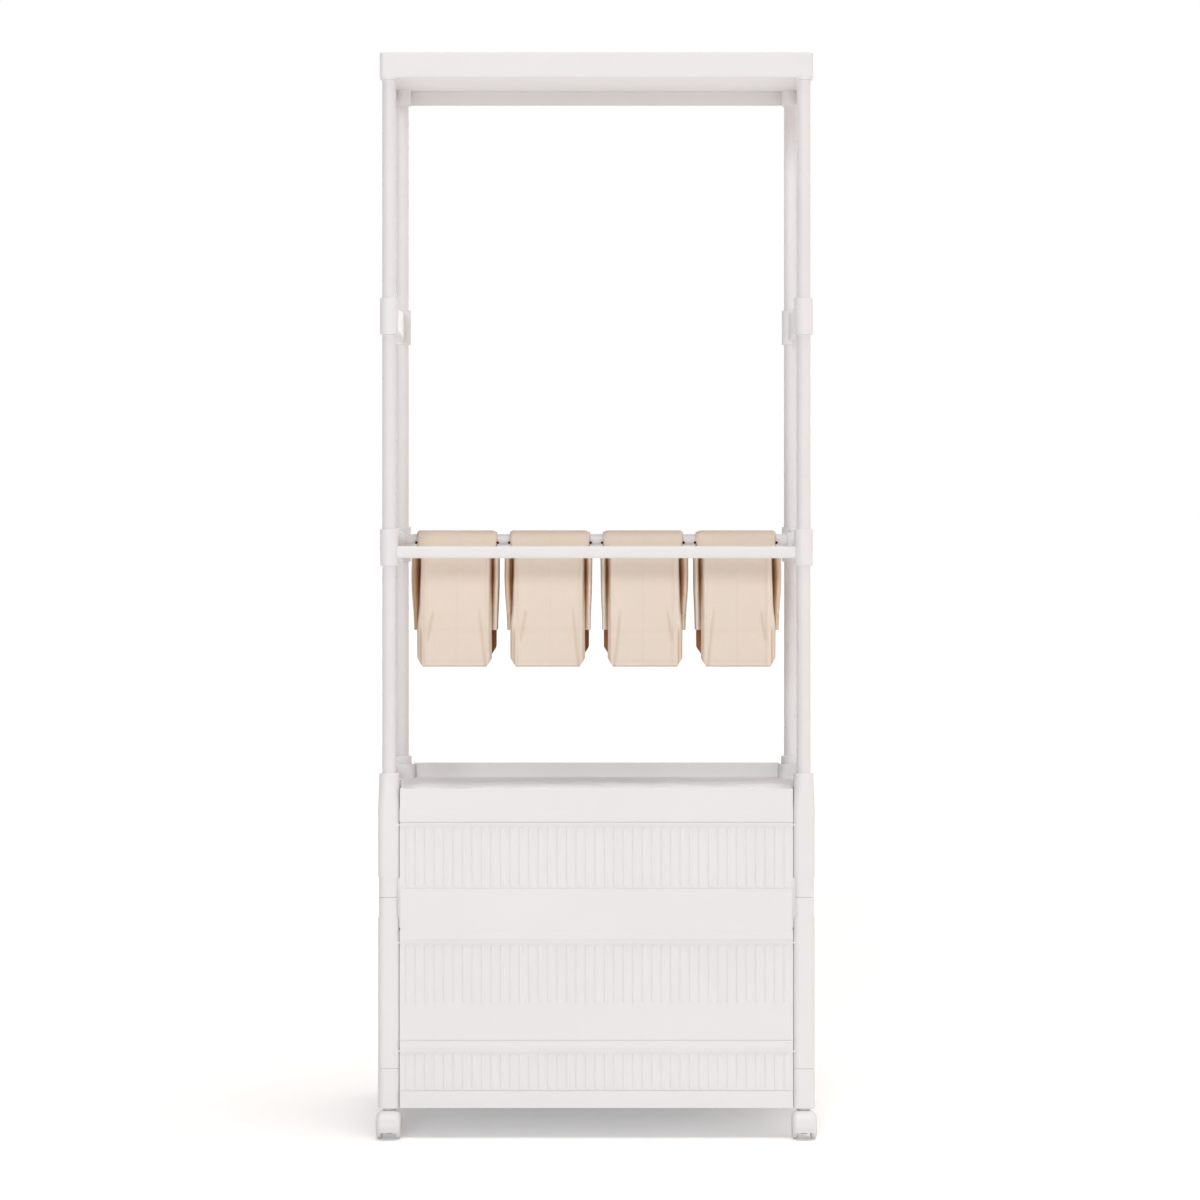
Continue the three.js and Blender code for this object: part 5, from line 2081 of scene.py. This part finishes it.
@dataclass
class Studio:
    """The camera, the lamps, the pale floor and the white surroundings."""

    camera_place: tuple[float, float, float] = (0.0, -5.53, 1.002)
    lens: float = 102.3
    sensor: float = 36.0
    shift: tuple[float, float] = (0.003, -0.085)
    clip_end: float = 200.0
    floor_half: float = 60.0
    floor_colour: Colour = (0.95, 0.95, 0.95)
    ambient: tuple[tuple[float, float], ...] = (
        (0.0, 0.02), (0.2, 0.06), (0.36, 0.32), (0.66, 0.4), (0.85, 0.85), (1.0, 0.85),
    )
    ambient_tint: tuple[float, float] = (0.93, 0.88)
    floor_glow: float = 0.25
    floor_bounce: float = 0.13
    bounce_colour: Colour = (1.0, 0.92, 0.88)
    bounce_reach: tuple[float, float] = (0.5, 1.4)
    suns: tuple[Sun, ...] = (
        Sun("key", 0.98, 14, (0.16, 0.965, -0.2), (0.92, 0.97, 1.0)),
        Sun("top", 1.37, 30, (0.0, 0.14, -1.0), (1.0, 0.97, 0.94)),
        Sun("rear", 0.6, 30, (-0.1, -0.99, -0.06), (0.97, 0.98, 1.0)),
    )

    def camera(self) -> None:
        """Set up the camera at the photograph's place."""
        data = bpy.data.cameras.new("camera")
        data.lens = self.lens
        data.sensor_width = self.sensor
        data.shift_x, data.shift_y = self.shift
        data.clip_end = self.clip_end
        camera = bpy.data.objects.new("camera", data)
        camera.location = self.camera_place
        camera.rotation_euler = (math.pi / 2, 0, 0)
        bpy.context.scene.collection.objects.link(camera)
        bpy.context.scene.camera = camera

    @staticmethod
    def background_ray(nodes: bpy.types.Nodes, links: bpy.types.NodeLinks) -> Socket:
        """Whether a ray comes from the camera, a gloss or a glass.

        Args:
            nodes: The tree's nodes.
            links: The tree's links.

        Returns:
            1 for such a ray and 0 for others.
        """
        path = nodes.new("ShaderNodeLightPath")
        total = path.outputs["Is Camera Ray"]
        for name in ("Is Glossy Ray", "Is Transmission Ray"):
            both = nodes.new("ShaderNodeMath")
            both.operation = "MAXIMUM"
            links.new(total, both.inputs[0])
            links.new(path.outputs[name], both.inputs[1])
            total = both.outputs[0]
        return total

    def surroundings(self) -> None:
        """White all round for the camera, and a softer even light on the object."""
        world = bpy.data.worlds.new("surroundings")
        world.use_nodes = True
        nodes, links = world.node_tree.nodes, world.node_tree.links
        nodes.clear()
        seen, lit = nodes.new("ShaderNodeBackground"), nodes.new("ShaderNodeBackground")
        seen.inputs["Color"].default_value = (1, 1, 1, 1)
        seen.inputs["Strength"].default_value = 1.0
        direction = nodes.new("ShaderNodeTexCoord").outputs["Generated"]
        kinds = ("SeparateXYZ", "MapRange", "ValToRGB")
        parts, spread, ramp = (nodes.new(f"ShaderNode{kind}") for kind in kinds)
        spread.inputs["From Min"].default_value = -1.0
        links.new(direction, parts.inputs["Vector"])
        links.new(parts.outputs["X"], spread.inputs["Value"])
        links.new(spread.outputs["Result"], ramp.inputs["Fac"])
        stops = ramp.color_ramp.elements
        while len(stops) < len(self.ambient):
            stops.new(0.5)
        for stop, (place, level) in zip(stops, self.ambient):
            stop.position = place
            stop.color = (level, level * self.ambient_tint[0], level * self.ambient_tint[1], 1)
        links.new(ramp.outputs["Color"], lit.inputs["Color"])
        mix, output = nodes.new("ShaderNodeMixShader"), nodes.new("ShaderNodeOutputWorld")
        links.new(self.background_ray(nodes, links), mix.inputs[0])
        links.new(lit.outputs[0], mix.inputs[1])
        links.new(seen.outputs[0], mix.inputs[2])
        links.new(mix.outputs[0], output.inputs["Surface"])
        bpy.context.scene.world = world

    def floor(self) -> None:
        """A pale floor that keeps the object's shadow."""
        half = self.floor_half
        mesh = bpy.data.meshes.new("floor")
        corners = [(-half, -half, 0), (half, -half, 0), (half, half, 0), (-half, half, 0)]
        mesh.from_pydata(corners, [], [(0, 1, 2, 3)])
        material = bpy.data.materials.new("pale_floor")
        material.use_nodes = True
        nodes, links = material.node_tree.nodes, material.node_tree.links
        nodes.clear()
        kinds = ("BsdfDiffuse", "Emission", "Emission")
        matt, glow, bounce = (nodes.new(f"ShaderNode{kind}") for kind in kinds)
        matt.inputs["Color"].default_value = (*self.floor_colour, 1)
        glow.inputs["Strength"].default_value = self.floor_glow
        bounce.inputs["Strength"].default_value = self.floor_bounce
        bounce.inputs["Color"].default_value = (*self.bounce_colour, 1)
        place = nodes.new("ShaderNodeTexCoord").outputs["Object"]
        kinds = ("VectorMath", "MapRange", "MixShader")
        away, reach, far = (nodes.new(f"ShaderNode{kind}") for kind in kinds)
        away.operation = "LENGTH"
        links.new(place, away.inputs[0])
        links.new(away.outputs["Value"], reach.inputs["Value"])
        reach.inputs["From Min"].default_value, reach.inputs["From Max"].default_value = self.bounce_reach
        links.new(reach.outputs["Result"], far.inputs[0])
        links.new(bounce.outputs[0], far.inputs[2])
        shown = nodes.new("ShaderNodeMixShader")
        links.new(self.background_ray(nodes, links), shown.inputs[0])
        links.new(far.outputs[0], shown.inputs[1])
        links.new(glow.outputs[0], shown.inputs[2])
        total, output = nodes.new("ShaderNodeAddShader"), nodes.new("ShaderNodeOutputMaterial")
        links.new(matt.outputs[0], total.inputs[0])
        links.new(shown.outputs[0], total.inputs[1])
        links.new(total.outputs[0], output.inputs["Surface"])
        mesh.materials.append(material)
        floor = bpy.data.objects.new("floor", mesh)
        bpy.context.scene.collection.objects.link(floor)

    def build(self) -> None:
        """Set up the studio."""
        bpy.context.scene.view_settings.view_transform = "Standard"
        self.camera()
        self.surroundings()
        self.floor()
        for sun in self.suns:
            sun.build()


def main() -> None:
    """Build the studio and every sub-assembly, and log each one as it is done."""
    logging.basicConfig(level=logging.INFO, format="%(message)s")
    Studio().build()
    for assembly in (
        CornerPosts(), CabinetFrames(), TableTray(), FlipFronts(), WallPanels(),
        Uprights(), HangingRack(), TopShelf(), Casters(), HangingBags(),
    ):
        assembly.build()
        LOG.info("%s done", type(assembly).__name__)


if __name__ == "__main__":
    main()
